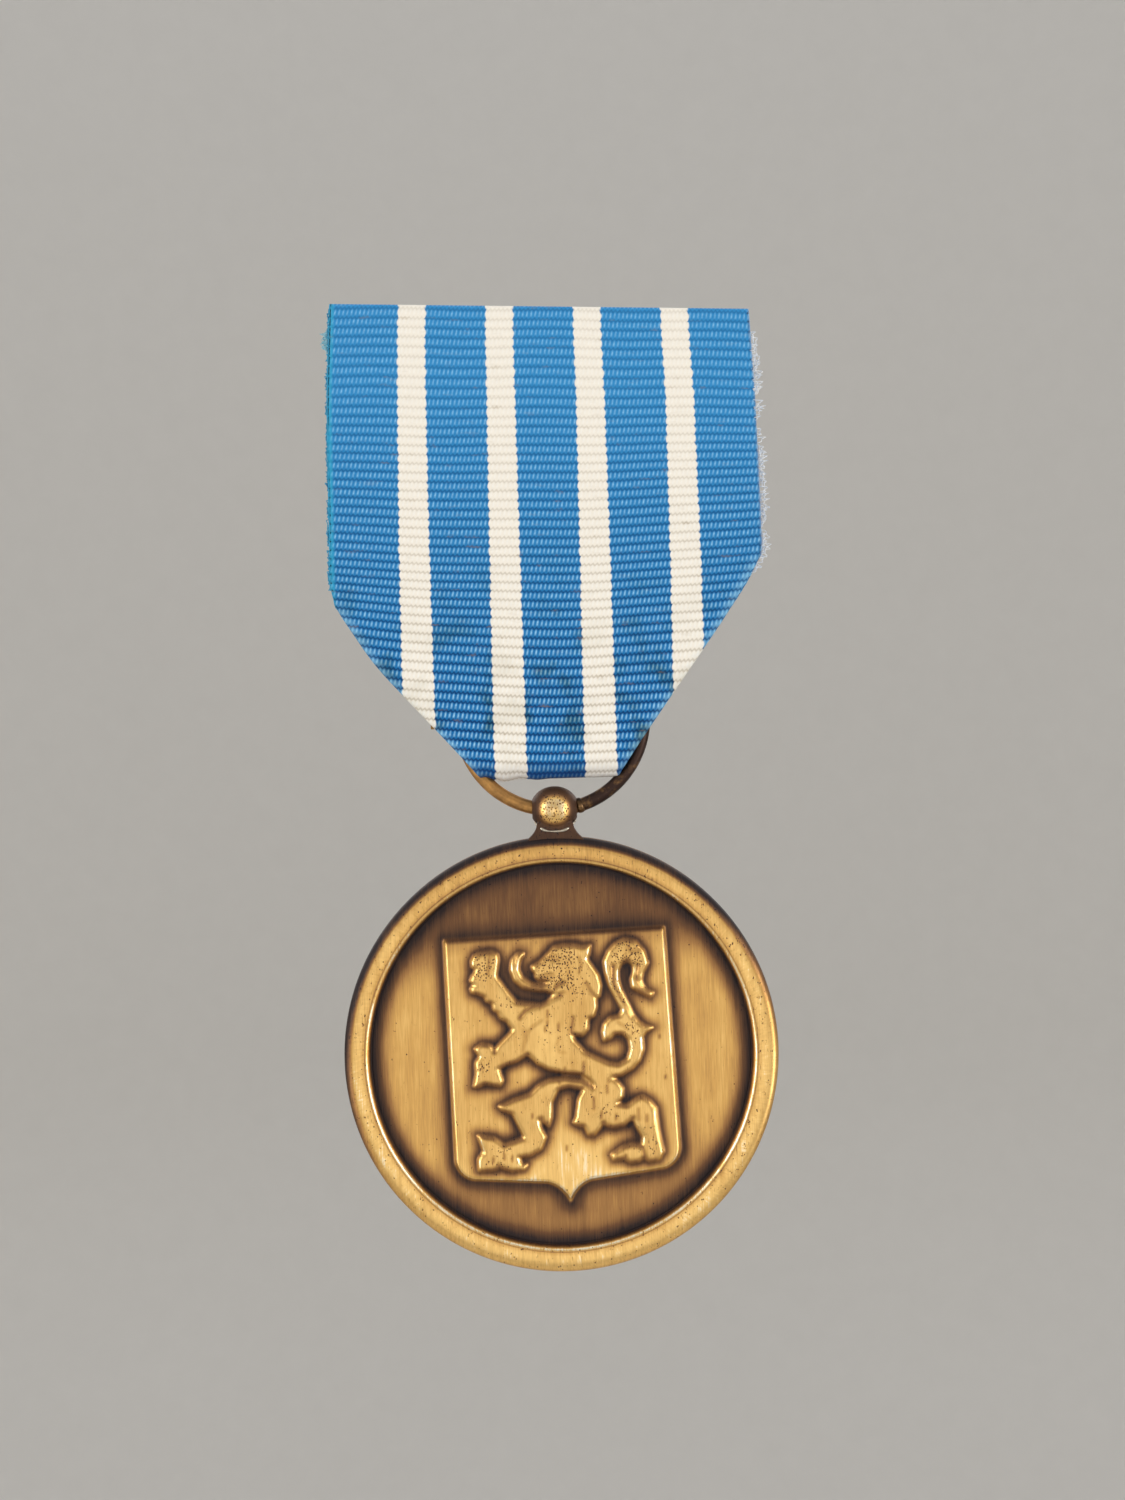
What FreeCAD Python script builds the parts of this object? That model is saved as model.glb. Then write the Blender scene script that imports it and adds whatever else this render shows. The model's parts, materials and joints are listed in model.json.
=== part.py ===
"""A struck bronze medal that hangs from a folded ribbon, with a brooch behind the ribbon's head.

The frame is in millimetres, +Z up and the front facing -Y. Its origin is on the axis of the brooch pin, on the
ribbon's centre line. Every driving size is a cell of the sheet Dims, and the features are bound to those cells.
"""
import FreeCAD
import Part
import math
import os
import Sketcher
from FreeCAD import Placement, Rotation, Vector

doc = FreeCAD.newDocument("Medal")
sub_parts = []

# ---------------------------------------------------------------- driving dimensions

SIZES = {
    # ribbon
    "ribbon_wide": 38.0,
    "ribbon_front": -3.3,
    "ribbon_thick": 1.2,
    "head_top": 4.5,
    "flex_height": -19.7,
    "flex_gap": 0.15,
    "fold_low": -37.4,
    "fold_half": 5.0,
    "layer_thick": 0.7,
    "pocket_thick": 1.5,
    "pocket_top": -22.8,
    # ring
    "ring_height": -32.0,
    "ring_mid_rad": 8.2,
    "wire_rad": 0.6,
    "joint_start": 14.5,
    "joint_sweep": 3.0,
    "joint_rad": 0.68,
    # ball and its foot
    "ball_drop": 8.1,
    "ball_rad": 2.0,
    "ball_hole_rad": 0.85,
    "foot_top_half": 1.3,
    "foot_low_half": 2.45,
    "foot_thick": 2.4,
    "foot_top_drop": 1.2,
    # disc
    "disc_rad": 19.3,
    "disc_thick": 3.1,
    "disc_gap": 2.5,
    "edge_chamfer": 0.25,
    "land_rad": 17.15,
    "field_rad": 16.85,
    "front_recess": 0.9,
    "back_recess": 0.4,
    "shield_top_half": 9.8,
    "shield_half": 10.0,
    "shield_top": 10.7,
    "shield_low": -10.7,
    "shield_point": -13.1,
    "shield_corner": 1.9,
    "cusp_half": 1.9,
    "cusp_low": -11.3,
    "relief_turn": 2.0,
    "shield_rise": 0.45,
    "lion_rise": 0.4,
    # brooch
    "bar_long": 34.0,
    "bar_high": 5.0,
    "bar_thick": 0.7,
    "bar_corner": 1.2,
    "sew_hole_rad": 0.5,
    "sew_hole_up": 1.72,
    "sew_pitch": 7.0,
    "sew_first": -10.5,
    "thread_rad": 0.16,
    "stitch_rad": 0.9,
    "stitch_up": 2.45,
    "hinge_side": -14.5,
    "ear_wide": 2.2,
    "ear_high": 2.5,
    "ear_slot": 1.44,
    "base_thick": 0.4,
    "rivet_rad": 0.4,
    "rivet_head_rad": 0.7,
    "rivet_head_high": 0.3,
    "eye_rad": 0.85,
    "eye_high": 1.3,
    "eye_hole_rad": 0.45,
    "pin_rad": 0.38,
    "pin_long": 28.0,
    "point_long": 2.6,
    "catch_side": 11.6,
    "catch_long": 2.4,
    "catch_out_rad": 0.95,
    "catch_in_rad": 0.55,
    "catch_mouth": 0.92,
    "catch_foot": 2.4,
    # small wire and thread in the fold
    "fold_thread_rad": 0.2,
    "fold_thread_drop": 0.75,
    "staple_rad": 0.22,
    "staple_height": -31.4,
    "staple_side": -10.75,
    "staple_long": 4.6,
    "staple_end": 1.3,
    "staple_bend": 0.5,
}


def add_derived(sizes):
    """Sizes that follow from the driving ones."""
    sizes["ribbon_half"] = sizes["ribbon_wide"] / 2
    sizes["ribbon_back"] = sizes["ribbon_front"] + sizes["ribbon_thick"]
    sizes["upper_low"] = sizes["flex_height"] + sizes["ribbon_thick"] / 2 + sizes["flex_gap"]
    sizes["ring_plane"] = sizes["ribbon_front"] + sizes["layer_thick"] + sizes["pocket_thick"] / 2
    sizes["tip_back"] = sizes["ribbon_front"] + 2 * sizes["layer_thick"] + sizes["pocket_thick"]
    sizes["ball_height"] = sizes["ring_height"] - sizes["ball_drop"]
    sizes["disc_drop"] = sizes["disc_gap"] + sizes["disc_rad"]
    sizes["disc_height"] = sizes["ball_height"] - sizes["disc_drop"]
    sizes["half_thick"] = sizes["disc_thick"] / 2
    sizes["edge_rad"] = sizes["disc_rad"] - sizes["edge_chamfer"]
    sizes["edge_level"] = sizes["half_thick"] - sizes["edge_chamfer"]
    sizes["front_field"] = sizes["half_thick"] - sizes["front_recess"]
    sizes["back_field"] = sizes["half_thick"] - sizes["back_recess"]
    sizes["bar_back"] = sizes["ribbon_back"] + sizes["bar_thick"]


add_derived(SIZES)

sheet = doc.addObject("Spreadsheet::Sheet", "Dims")
for row, (alias, size) in enumerate(SIZES.items(), start=1):
    sheet.set(f"A{row}", alias)
    sheet.set(f"B{row}", f"{size:.6g}")
    sheet.setAlias(f"B{row}", alias)
doc.recompute()


def size_of(name):
    """The number behind an alias; a leading minus turns its sign, and 0 is zero."""
    if name == "0":
        return 0.0
    if name.startswith("-"):
        return -SIZES[name[1:]]
    return SIZES[name]


def formula(name):
    """The expression that reads an alias from the sheet."""
    if name == "0":
        return "0"
    if name.startswith("-"):
        return f"-Dims.{name[1:]}"
    return f"Dims.{name}"


def bind(item, **properties):
    """Binds properties of an object to aliases or expressions of the sheet."""
    for prop, expression in properties.items():
        item.setExpression(prop.replace("__", "."), expression)


def place(item, x="0", y="0", z="0", rotation=None):
    """Puts an object where three expressions say, turned by a fixed rotation."""
    item.Placement = Placement(Vector(), rotation or Rotation())
    bind(item, Placement__Base__x=x, Placement__Base__y=y, Placement__Base__z=z)


def keep(item, label):
    """Gives a sub-part the label that names its file."""
    item.Label = label
    sub_parts.append(item)
    return item


# Local X stays X, local Y becomes +Z and local Z faces the front.
TO_FRONT = Rotation(Vector(1, 0, 0), 90)


def new_body(label):
    body = doc.addObject("PartDesign::Body", label + "_body")
    return keep(body, label)


def new_sketch(body, name, role, level=None, turn=0.0):
    """A sketch on one of the body's origin planes, turned in its plane and raised by an expression."""
    plane = next(item for item in body.Origin.OriginFeatures if item.Role == role)
    sketch = body.newObject("Sketcher::SketchObject", name)
    sketch.AttachmentSupport = (plane, [""])
    sketch.MapMode = "FlatFace"
    sketch.AttachmentOffset = Placement(Vector(), Rotation(Vector(0, 0, 1), turn))
    if level:
        sketch.setExpression("AttachmentOffset.Base.z", level)
    return sketch


def pin_vertex(sketch, edge, end, point):
    """Holds one end of an edge at two aliases, measured from the sketch's origin."""
    for kind, name in zip(("DistanceX", "DistanceY"), point):
        index = sketch.addConstraint(Sketcher.Constraint(kind, -1, 1, edge, end, size_of(name)))
        if name != "0":
            sketch.setExpression(f"Constraints[{index}]", formula(name))


def bound_polygon(sketch, points):
    """A closed outline of straight edges, each corner held at a pair of aliases."""
    corners = [Vector(size_of(across), size_of(up), 0) for across, up in points]
    for index, corner in enumerate(corners):
        following = corners[(index + 1) % len(corners)]
        sketch.addGeometry(Part.LineSegment(corner, following))
    for index in range(len(corners)):
        sketch.addConstraint(Sketcher.Constraint("Coincident", index, 2, (index + 1) % len(corners), 1))
        pin_vertex(sketch, index, 1, points[index])


def free_polygon(sketch, points):
    """A closed outline of straight edges through hand-drawn points."""
    corners = [Vector(across, up, 0) for across, up in points]
    first = sketch.GeometryCount
    for index, corner in enumerate(corners):
        sketch.addGeometry(Part.LineSegment(corner, corners[(index + 1) % len(corners)]))
    for index in range(len(corners)):
        following = first + (index + 1) % len(corners)
        sketch.addConstraint(Sketcher.Constraint("Coincident", first + index, 2, following, 1))


def bound_circle(sketch, across, up, radius):
    """A circle with its centre and radius held at aliases."""
    centre = Vector(size_of(across), size_of(up), 0)
    edge = sketch.addGeometry(Part.Circle(centre, Vector(0, 0, 1), size_of(radius)))
    index = sketch.addConstraint(Sketcher.Constraint("Radius", edge, size_of(radius)))
    sketch.setExpression(f"Constraints[{index}]", formula(radius))
    pin_vertex(sketch, edge, 3, (across, up))


def pad(body, sketch, name, length, midplane=False):
    feature = body.newObject("PartDesign::Pad", name)
    feature.Profile = sketch
    feature.Midplane = midplane
    feature.setExpression("Length", length)
    return feature


def cut_through(body, sketch, name):
    """A pocket right through the body, both ways from its sketch."""
    feature = body.newObject("PartDesign::Pocket", name)
    feature.Profile = sketch
    feature.Type = "ThroughAll"
    feature.Midplane = True
    return feature


def revolve(body, sketch, name, axis):
    feature = body.newObject("PartDesign::Revolution", name)
    feature.Profile = sketch
    feature.ReferenceAxis = (sketch, [axis])
    feature.Angle = 360.0
    return feature


def cylinder(name, radius, height, x="0", y="0", z="0", rotation=None):
    """A Part cylinder with its foot at a point."""
    item = doc.addObject("Part::Cylinder", name)
    bind(item, Radius=radius, Height=height)
    place(item, x, y, z, rotation)
    return item


def box(name, long, deep, high, x, y, z):
    """A Part box with its low corner at a point."""
    item = doc.addObject("Part::Box", name)
    bind(item, Length=long, Width=deep, Height=high)
    place(item, x, y, z)
    return item


def combine(kind, name, **links):
    item = doc.addObject(kind, name)
    for prop, value in links.items():
        setattr(item, prop, value)
    return item


# ---------------------------------------------------------------- medal: disc, ball and solder

# The outline of the lion on the shield, from the disc's centre: a beast rearing towards the left.
LION = [
    (3.2, 9.6), (2.5, 9.5), (1.9, 9.7), (0.9, 9.8), (0.0, 9.7), (-1.4, 8.4), (-2.2, 8.0), (-2.1, 7.6),
    (-1.9, 7.4), (-1.9, 7.0), (-1.6, 6.7), (-0.7, 6.5), (-1.2, 6.3), (-2.2, 6.5), (-3.0, 7.1), (-3.3, 7.8),
    (-3.1, 8.6), (-2.7, 9.2), (-3.3, 9.3), (-3.9, 8.7), (-4.1, 7.8), (-3.8, 6.8), (-3.1, 6.1), (-2.1, 5.8),
    (-1.1, 5.7), (-0.3, 5.4), (-1.0, 4.8), (-1.6, 4.6), (-3.7, 5.0), (-4.3, 5.8), (-5.3, 7.3), (-5.0, 8.8),
    (-5.1, 9.3), (-5.6, 9.6), (-6.7, 9.5), (-7.2, 9.3), (-7.5, 8.8), (-7.5, 8.2), (-7.1, 8.0), (-7.5, 7.5),
    (-7.7, 7.0), (-7.4, 6.7), (-7.7, 6.4), (-7.6, 5.9), (-7.1, 5.8), (-6.5, 5.5), (-6.4, 5.1), (-5.9, 4.9),
    (-5.8, 4.3), (-5.4, 4.0), (-5.2, 3.5), (-4.7, 3.2), (-4.2, 2.5), (-5.7, 1.1), (-5.9, 0.7), (-6.2, 1.3),
    (-7.0, 1.5), (-7.7, 1.0), (-7.3, 0.3), (-7.7, -0.2), (-7.7, -1.3), (-8.0, -2.4), (-7.6, -2.5),
    (-7.0, -2.2), (-5.6, -2.5), (-5.3, -2.0), (-5.6, -0.9), (-4.9, -0.6), (-4.0, -0.4), (-3.0, 0.2),
    (-2.2, -0.7), (-1.2, -1.3), (0.1, -1.7), (1.6, -1.9), (2.5, -2.8), (1.6, -2.3), (0.1, -2.0),
    (-1.3, -2.1), (-2.2, -2.5), (-3.0, -3.2), (-4.4, -3.6), (-5.9, -4.2), (-5.6, -4.6), (-4.7, -5.0),
    (-3.8, -7.1), (-5.6, -7.6), (-6.4, -6.9), (-7.9, -6.6), (-7.5, -8.1), (-8.0, -8.8), (-8.0, -9.9),
    (-6.7, -9.9), (-6.0, -9.7), (-5.0, -10.1), (-3.9, -10.0), (-3.6, -9.5), (-4.1, -9.5), (-4.3, -8.9),
    (-3.3, -8.8), (-2.3, -8.3), (-1.8, -7.2), (-2.2, -6.4), (-2.3, -5.6), (-1.5, -6.4), (-1.2, -5.5),
    (-1.1, -4.2), (-0.5, -3.1), (0.4, -2.9), (1.7, -3.2), (1.2, -4.0), (0.9, -5.6), (0.6, -6.1),
    (1.1, -6.4), (1.6, -6.5), (1.9, -7.3), (2.4, -7.4), (3.0, -6.8), (3.3, -6.3), (3.6, -6.6), (4.3, -6.8),
    (5.2, -6.6), (6.0, -6.0), (6.2, -6.8), (6.7, -7.7), (6.6, -8.4), (5.8, -8.2), (4.9, -8.4), (3.8, -9.1),
    (4.0, -9.7), (4.9, -9.6), (5.5, -10.0), (6.3, -9.9), (6.7, -9.6), (7.2, -10.0), (8.1, -9.9),
    (8.5, -9.2), (8.2, -7.0), (8.1, -5.2), (7.6, -4.5), (6.9, -4.0), (6.2, -4.3), (5.5, -4.8), (4.7, -4.6),
    (5.2, -4.1), (5.3, -3.3), (4.9, -2.7), (4.4, -2.3), (5.2, -2.2), (6.2, -1.7), (6.9, -1.0), (7.3, 0.0),
    (7.3, 1.1), (7.6, 1.5), (8.3, 1.9), (7.5, 2.2), (7.0, 2.6), (6.6, 3.2), (5.7, 5.4), (5.5, 6.3),
    (5.5, 7.1), (5.8, 7.7), (6.4, 7.9), (6.8, 7.5), (6.8, 6.9), (6.5, 6.3), (6.6, 5.5), (8.2, 4.5),
    (8.5, 5.0), (7.8, 5.4), (7.5, 6.1), (7.7, 6.8), (8.2, 7.6), (7.9, 8.8), (7.2, 9.7), (6.2, 10.0),
    (5.3, 9.6), (4.7, 9.0), (4.2, 8.0), (4.3, 7.0), (4.6, 5.8), (5.6, 3.6), (5.3, 3.2), (4.5, 3.1),
    (3.9, 2.5), (3.7, 1.8), (3.8, 0.9), (4.4, 1.1), (4.8, 1.5), (5.5, 1.5), (6.0, 1.0), (6.1, 0.1),
    (5.8, -0.7), (5.0, -1.1), (4.1, -0.9), (2.1, 0.2), (1.2, 1.3), (1.1, 1.7), (2.0, 1.5), (2.5, 2.1),
    (2.6, 3.0), (3.1, 3.2), (3.4, 4.0), (3.4, 4.8), (3.7, 4.9), (3.9, 5.9), (3.7, 6.9), (2.8, 8.4),
    (3.0, 8.6),
]


def draw_shield(sketch):
    """A flat-topped shield that widens a little downwards, with round lower corners and an ogee point."""
    top, top_half = SIZES["shield_top"], SIZES["shield_top_half"]
    low, half = SIZES["shield_low"], SIZES["shield_half"]
    corner = SIZES["shield_corner"]
    cusp, cusp_low = SIZES["cusp_half"], SIZES["cusp_low"]
    sag = corner * (1 - math.sqrt(0.5))
    point = Vector(0, SIZES["shield_point"], 0)
    edges = [Part.LineSegment(Vector(-top_half, top, 0), Vector(top_half, top, 0))]
    for side in (-1, 1):
        shoulder = Vector(side * top_half, top, 0)
        flank = Vector(side * half, low + corner, 0)
        bend = Vector(side * (half - sag), low + sag, 0)
        foot = Vector(side * (half - corner), low, 0)
        cusp_start = Vector(side * cusp, cusp_low, 0)
        cusp_bend = Vector(side * cusp * 0.42, cusp_low * 0.64 + point.y * 0.36, 0)
        edges.append(Part.LineSegment(shoulder, flank))
        edges.append(Part.Arc(flank, bend, foot))
        edges.append(Part.LineSegment(foot, cusp_start))
        edges.append(Part.Arc(cusp_start, cusp_bend, point))
    sketch.addGeometry(edges)


def make_disc():
    """The struck disc: rim, recessed fields, and the shield and lion of the same metal."""
    body = new_body("medal_disc")
    place(body, "0", "Dims.ring_plane", "Dims.disc_height", TO_FRONT)
    section = new_sketch(body, "disc_section", "XZ_Plane")
    bound_polygon(
        section,
        [
            ("0", "-back_field"),
            ("field_rad", "-back_field"),
            ("land_rad", "-half_thick"),
            ("edge_rad", "-half_thick"),
            ("disc_rad", "-edge_level"),
            ("disc_rad", "edge_level"),
            ("edge_rad", "half_thick"),
            ("land_rad", "half_thick"),
            ("field_rad", "front_field"),
            ("0", "front_field"),
        ],
    )
    revolve(body, section, "disc_blank", "V_Axis")
    turn = SIZES["relief_turn"]
    shield = new_sketch(body, "shield_outline", "XY_Plane", "Dims.front_field", turn)
    draw_shield(shield)
    pad(body, shield, "shield_relief", "Dims.shield_rise")
    lion = new_sketch(body, "lion_outline", "XY_Plane", "Dims.front_field + Dims.shield_rise", turn)
    free_polygon(lion, LION)
    pad(body, lion, "lion_relief", "Dims.lion_rise")
    return body


def foot_corner(side):
    """Where the foot's flank meets the disc's edge, from the ball's centre."""
    across = SIZES["foot_low_half"]
    up = -SIZES["disc_drop"] + math.sqrt(SIZES["disc_rad"] ** 2 - across**2)
    return Vector(side * across, up, 0)


def make_ball():
    """The pierced ball and its flared foot, which sits on the disc's edge."""
    body = new_body("suspension_ball")
    place(body, "0", "Dims.ring_plane", "Dims.ball_height")
    section = new_sketch(body, "ball_section", "XZ_Plane")
    radius = SIZES["ball_rad"]
    arc = Part.Arc(Vector(0, -radius, 0), Vector(radius, 0, 0), Vector(0, radius, 0))
    section.addGeometry([arc, Part.LineSegment(Vector(0, radius, 0), Vector(0, -radius, 0))])
    section.addConstraint(Sketcher.Constraint("Coincident", 0, 3, -1, 1))
    section.addConstraint(Sketcher.Constraint("Coincident", 0, 2, 1, 1))
    section.addConstraint(Sketcher.Constraint("Coincident", 1, 2, 0, 1))
    section.addConstraint(Sketcher.Constraint("PointOnObject", 0, 1, -2))
    section.addConstraint(Sketcher.Constraint("PointOnObject", 0, 2, -2))
    index = section.addConstraint(Sketcher.Constraint("Radius", 0, radius))
    section.setExpression(f"Constraints[{index}]", "Dims.ball_rad")
    revolve(body, section, "ball_solid", "V_Axis")
    foot = new_sketch(body, "foot_outline", "XZ_Plane")
    top = -SIZES["foot_top_drop"]
    top_half = SIZES["foot_top_half"]
    left, right = foot_corner(-1), foot_corner(1)
    middle = Vector(0, -SIZES["disc_gap"], 0)
    waist = (top + right.y) / 2
    waist_half = (top_half * 3 + right.x) / 4
    foot.addGeometry(
        [
            Part.LineSegment(Vector(-top_half, top, 0), Vector(top_half, top, 0)),
            Part.Arc(Vector(top_half, top, 0), Vector(waist_half, waist, 0), right),
            Part.Arc(right, middle, left),
            Part.Arc(left, Vector(-waist_half, waist, 0), Vector(-top_half, top, 0)),
        ]
    )
    pad(body, foot, "foot_solid", "Dims.foot_thick", midplane=True)
    hole = new_sketch(body, "ring_hole", "YZ_Plane")
    bound_circle(hole, "0", "0", "ball_hole_rad")
    cut_through(body, hole, "ring_way")
    return body


def make_solder():
    """Two small wedges of solder, one on each side of the foot, on the disc's edge."""
    drop = SIZES["disc_drop"]
    reach = SIZES["foot_low_half"] + 0.75
    outer_up = -drop + math.sqrt(SIZES["disc_rad"] ** 2 - reach**2)
    between = SIZES["foot_low_half"] + 0.4
    between_up = -drop + math.sqrt(SIZES["disc_rad"] ** 2 - between**2)
    top_half = SIZES["foot_top_half"]
    waist = (-SIZES["foot_top_drop"] + foot_corner(1).y) / 2
    flank = Part.Arc(
        Vector(top_half, -SIZES["foot_top_drop"], 0),
        Vector((top_half * 3 + foot_corner(1).x) / 4, waist, 0),
        foot_corner(1),
    )
    climb = flank.value(flank.FirstParameter + 0.62 * (flank.LastParameter - flank.FirstParameter))
    later = flank.value(flank.FirstParameter + 0.82 * (flank.LastParameter - flank.FirstParameter))
    wedges = []
    for side in (-1, 1):
        low = foot_corner(side)
        corners = [Vector(side * point.x, point.y, 0) for point in (climb, later)]
        tip = Vector(side * reach, outer_up, 0)
        mid = Vector(side * between, between_up, 0)
        outline = Part.Wire(
            [
                Part.Arc(corners[0], corners[1], low).toShape(),
                Part.Arc(low, mid, tip).toShape(),
                Part.LineSegment(tip, corners[0]).toShape(),
            ]
        )
        thick = SIZES["foot_thick"]
        face = Part.Face(outline)
        face.translate(Vector(0, 0, -thick / 2))
        wedges.append(face.extrude(Vector(0, 0, thick)))
    solder = doc.addObject("Part::Feature", "solder_seam_shape")
    solder.Shape = Part.makeCompound(wedges)
    place(solder, "0", "Dims.ring_plane", "Dims.ball_height", TO_FRONT)
    return keep(solder, "solder_seam")


# ---------------------------------------------------------------- ring


def torus_arc(label, wire, start, sweep):
    """A round wire bent about the ring's centre. start is in degrees, anticlockwise from the right."""
    item = doc.addObject("Part::Torus", label + "_torus")
    turned = TO_FRONT.multiply(Rotation(Vector(0, 0, 1), start))
    bind(item, Radius1="Dims.ring_mid_rad", Radius2=wire, Angle3=sweep)
    place(item, "0", "Dims.ring_plane", "Dims.ring_height", turned)
    return keep(item, label)


def make_ring():
    """The open ring, and the bead of solder that closes it just right of the ball."""
    joint_from = SIZES["joint_start"] - 90
    joint_to = joint_from + SIZES["joint_sweep"]
    torus_arc("suspension_ring", "Dims.wire_rad", joint_to, "360 - Dims.joint_sweep")
    torus_arc("ring_joint_bead", "Dims.joint_rad", joint_from, "Dims.joint_sweep")


# ---------------------------------------------------------------- ribbon


def make_ribbon_upper():
    """The straight upper part: the folded strip, rounded over at the top."""
    body = new_body("ribbon_upper")
    place(body, "0", "Dims.ribbon_back", "0", TO_FRONT)
    outline = new_sketch(body, "upper_outline", "XY_Plane")
    bound_polygon(
        outline,
        [
            ("-ribbon_half", "upper_low"),
            ("ribbon_half", "upper_low"),
            ("ribbon_half", "head_top"),
            ("-ribbon_half", "head_top"),
        ],
    )
    strip = pad(body, outline, "upper_strip", "Dims.ribbon_thick")
    doc.recompute()
    top_edges = []
    for index, edge in enumerate(strip.Shape.Edges, start=1):
        heights = [vertex.Point.y for vertex in edge.Vertexes]
        if min(heights) > SIZES["head_top"] - 1e-6 and edge.Length > SIZES["ribbon_half"]:
            top_edges.append(f"Edge{index}")
    fold = body.newObject("PartDesign::Fillet", "top_fold")
    fold.Base = (strip, top_edges)
    fold.setExpression("Radius", "Dims.ribbon_thick * 0.45")
    return body


def make_ribbon_tip():
    """The tapered end: a rounded nose, a front and a back stack of folds, and the fold through the ring."""
    body = new_body("ribbon_tip")
    section = new_sketch(body, "tip_section", "YZ_Plane")
    front = SIZES["ribbon_front"]
    back = SIZES["tip_back"]
    layer = SIZES["layer_thick"]
    nose = SIZES["ribbon_thick"] / 2
    flex = SIZES["flex_height"]
    low = SIZES["fold_low"]
    ceiling = SIZES["pocket_top"]
    round_off = 0.5
    sag = round_off * (1 - math.sqrt(0.5))
    points = [
        Vector(front, flex, 0),
        Vector(front, low + round_off, 0),
        Vector(front + round_off, low, 0),
        Vector(back - round_off, low, 0),
        Vector(back, low + round_off, 0),
        Vector(back, ceiling + 0.2, 0),
        Vector(front + 2 * nose, flex, 0),
    ]
    section.addGeometry(
        [
            Part.LineSegment(points[0], points[1]),
            Part.Arc(points[1], Vector(front + sag, low + sag, 0), points[2]),
            Part.LineSegment(points[2], points[3]),
            Part.Arc(points[3], Vector(back - sag, low + sag, 0), points[4]),
            Part.LineSegment(points[4], points[5]),
            Part.LineSegment(points[5], points[6]),
            Part.Arc(points[6], Vector(front + nose, flex + nose, 0), points[0]),
        ]
    )
    free_polygon(
        section,
        [
            (front + layer, low + layer),
            (back - layer, low + layer),
            (back - layer, ceiling),
            (front + layer, ceiling),
        ],
    )
    pad(body, section, "tip_strip", "Dims.ribbon_wide", midplane=True)
    sides = new_sketch(body, "tip_sides", "XZ_Plane")
    wide = SIZES["ribbon_half"]
    slim = SIZES["fold_half"]
    past = 2.0
    for side in (-1, 1):
        free_polygon(
            sides,
            [
                (side * wide, flex - 0.3),
                (side * (slim + 0.4), low + 0.5),
                (side * (slim - 0.1), low),
                (side * (slim - 0.1), low - past),
                (side * (wide + past), low - past),
                (side * (wide + past), flex - 0.3),
            ],
        )
    cut_through(body, sides, "tip_taper")
    return body


def make_fold_stitches():
    """Threads through the fold, in the ring's hole and just under its top arc."""
    threads = []
    high = "Dims.ring_height + Dims.ring_mid_rad - Dims.wire_rad - Dims.fold_thread_drop"
    for step in (-2, -1, 0, 1, 2):
        name = f"fold_thread_{step + 3}"
        drop = f"{high} - {0.11 * step * step:.2f}"
        threads.append(
            cylinder(
                name,
                "Dims.fold_thread_rad",
                "Dims.pocket_thick + Dims.layer_thick + 0.2",
                x=f"{1.3 * step:.1f}",
                y="Dims.ribbon_front + Dims.layer_thick",
                z=drop,
                rotation=Rotation(Vector(1, 0, 0), -90),
            )
        )
    group = combine("Part::Compound", "fold_thread_group", Links=threads)
    return keep(group, "fold_stitches")


def make_staple():
    """A bent brass wire on the back of the fold, with its end past the left slope."""
    deep = "Dims.tip_back + Dims.staple_rad"
    end = cylinder(
        "staple_end_wire",
        "Dims.staple_rad",
        "Dims.staple_end - Dims.staple_bend",
        x="Dims.staple_side",
        y=deep,
        z="Dims.staple_height - Dims.staple_end",
    )
    bend = doc.addObject("Part::Torus", "staple_bend_wire")
    bind(bend, Radius1="Dims.staple_bend", Radius2="Dims.staple_rad", Angle3="90")
    place(
        bend,
        "Dims.staple_side + Dims.staple_bend",
        deep,
        "Dims.staple_height - Dims.staple_bend",
        TO_FRONT.multiply(Rotation(Vector(0, 0, 1), 90)),
    )
    run = cylinder(
        "staple_run_wire",
        "Dims.staple_rad",
        "Dims.staple_long - Dims.staple_bend",
        x="Dims.staple_side + Dims.staple_bend",
        y=deep,
        z="Dims.staple_height",
        rotation=Rotation(Vector(0, 1, 0), 90),
    )
    whole = combine("Part::MultiFuse", "staple_whole", Shapes=[end, bend, run])
    return keep(whole, "fold_staple")


# ---------------------------------------------------------------- brooch


def make_bar():
    """The bar sewn behind the ribbon's head, with two rows of sewing holes."""
    body = new_body("brooch_bar")
    place(body, "0", "Dims.bar_back", "0", TO_FRONT)
    outline = new_sketch(body, "bar_outline", "XY_Plane")
    half = SIZES["bar_long"] / 2
    high = SIZES["bar_high"] / 2
    free_polygon(outline, [(-half, -high), (half, -high), (half, high), (-half, high)])
    plate = pad(body, outline, "bar_plate", "Dims.bar_thick")
    doc.recompute()
    corners = []
    for index, edge in enumerate(plate.Shape.Edges, start=1):
        if abs(edge.Length - SIZES["bar_thick"]) < 1e-6:
            corners.append(f"Edge{index}")
    rounding = body.newObject("PartDesign::Fillet", "bar_corners")
    rounding.Base = (plate, corners)
    rounding.setExpression("Radius", "Dims.bar_corner")
    holes = new_sketch(body, "first_holes", "XY_Plane")
    bound_circle(holes, "sew_first", "sew_hole_up", "sew_hole_rad")
    bound_circle(holes, "sew_first", "-sew_hole_up", "sew_hole_rad")
    first = cut_through(body, holes, "first_pair")
    doc.recompute()
    row_of_holes = body.newObject("PartDesign::LinearPattern", "hole_rows")
    row_of_holes.Originals = [first]
    row_of_holes.Direction = (holes, ["H_Axis"])
    row_of_holes.Occurrences = 4
    row_of_holes.setExpression("Length", "Dims.sew_pitch * 3")
    body.Tip = row_of_holes
    return body


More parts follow.
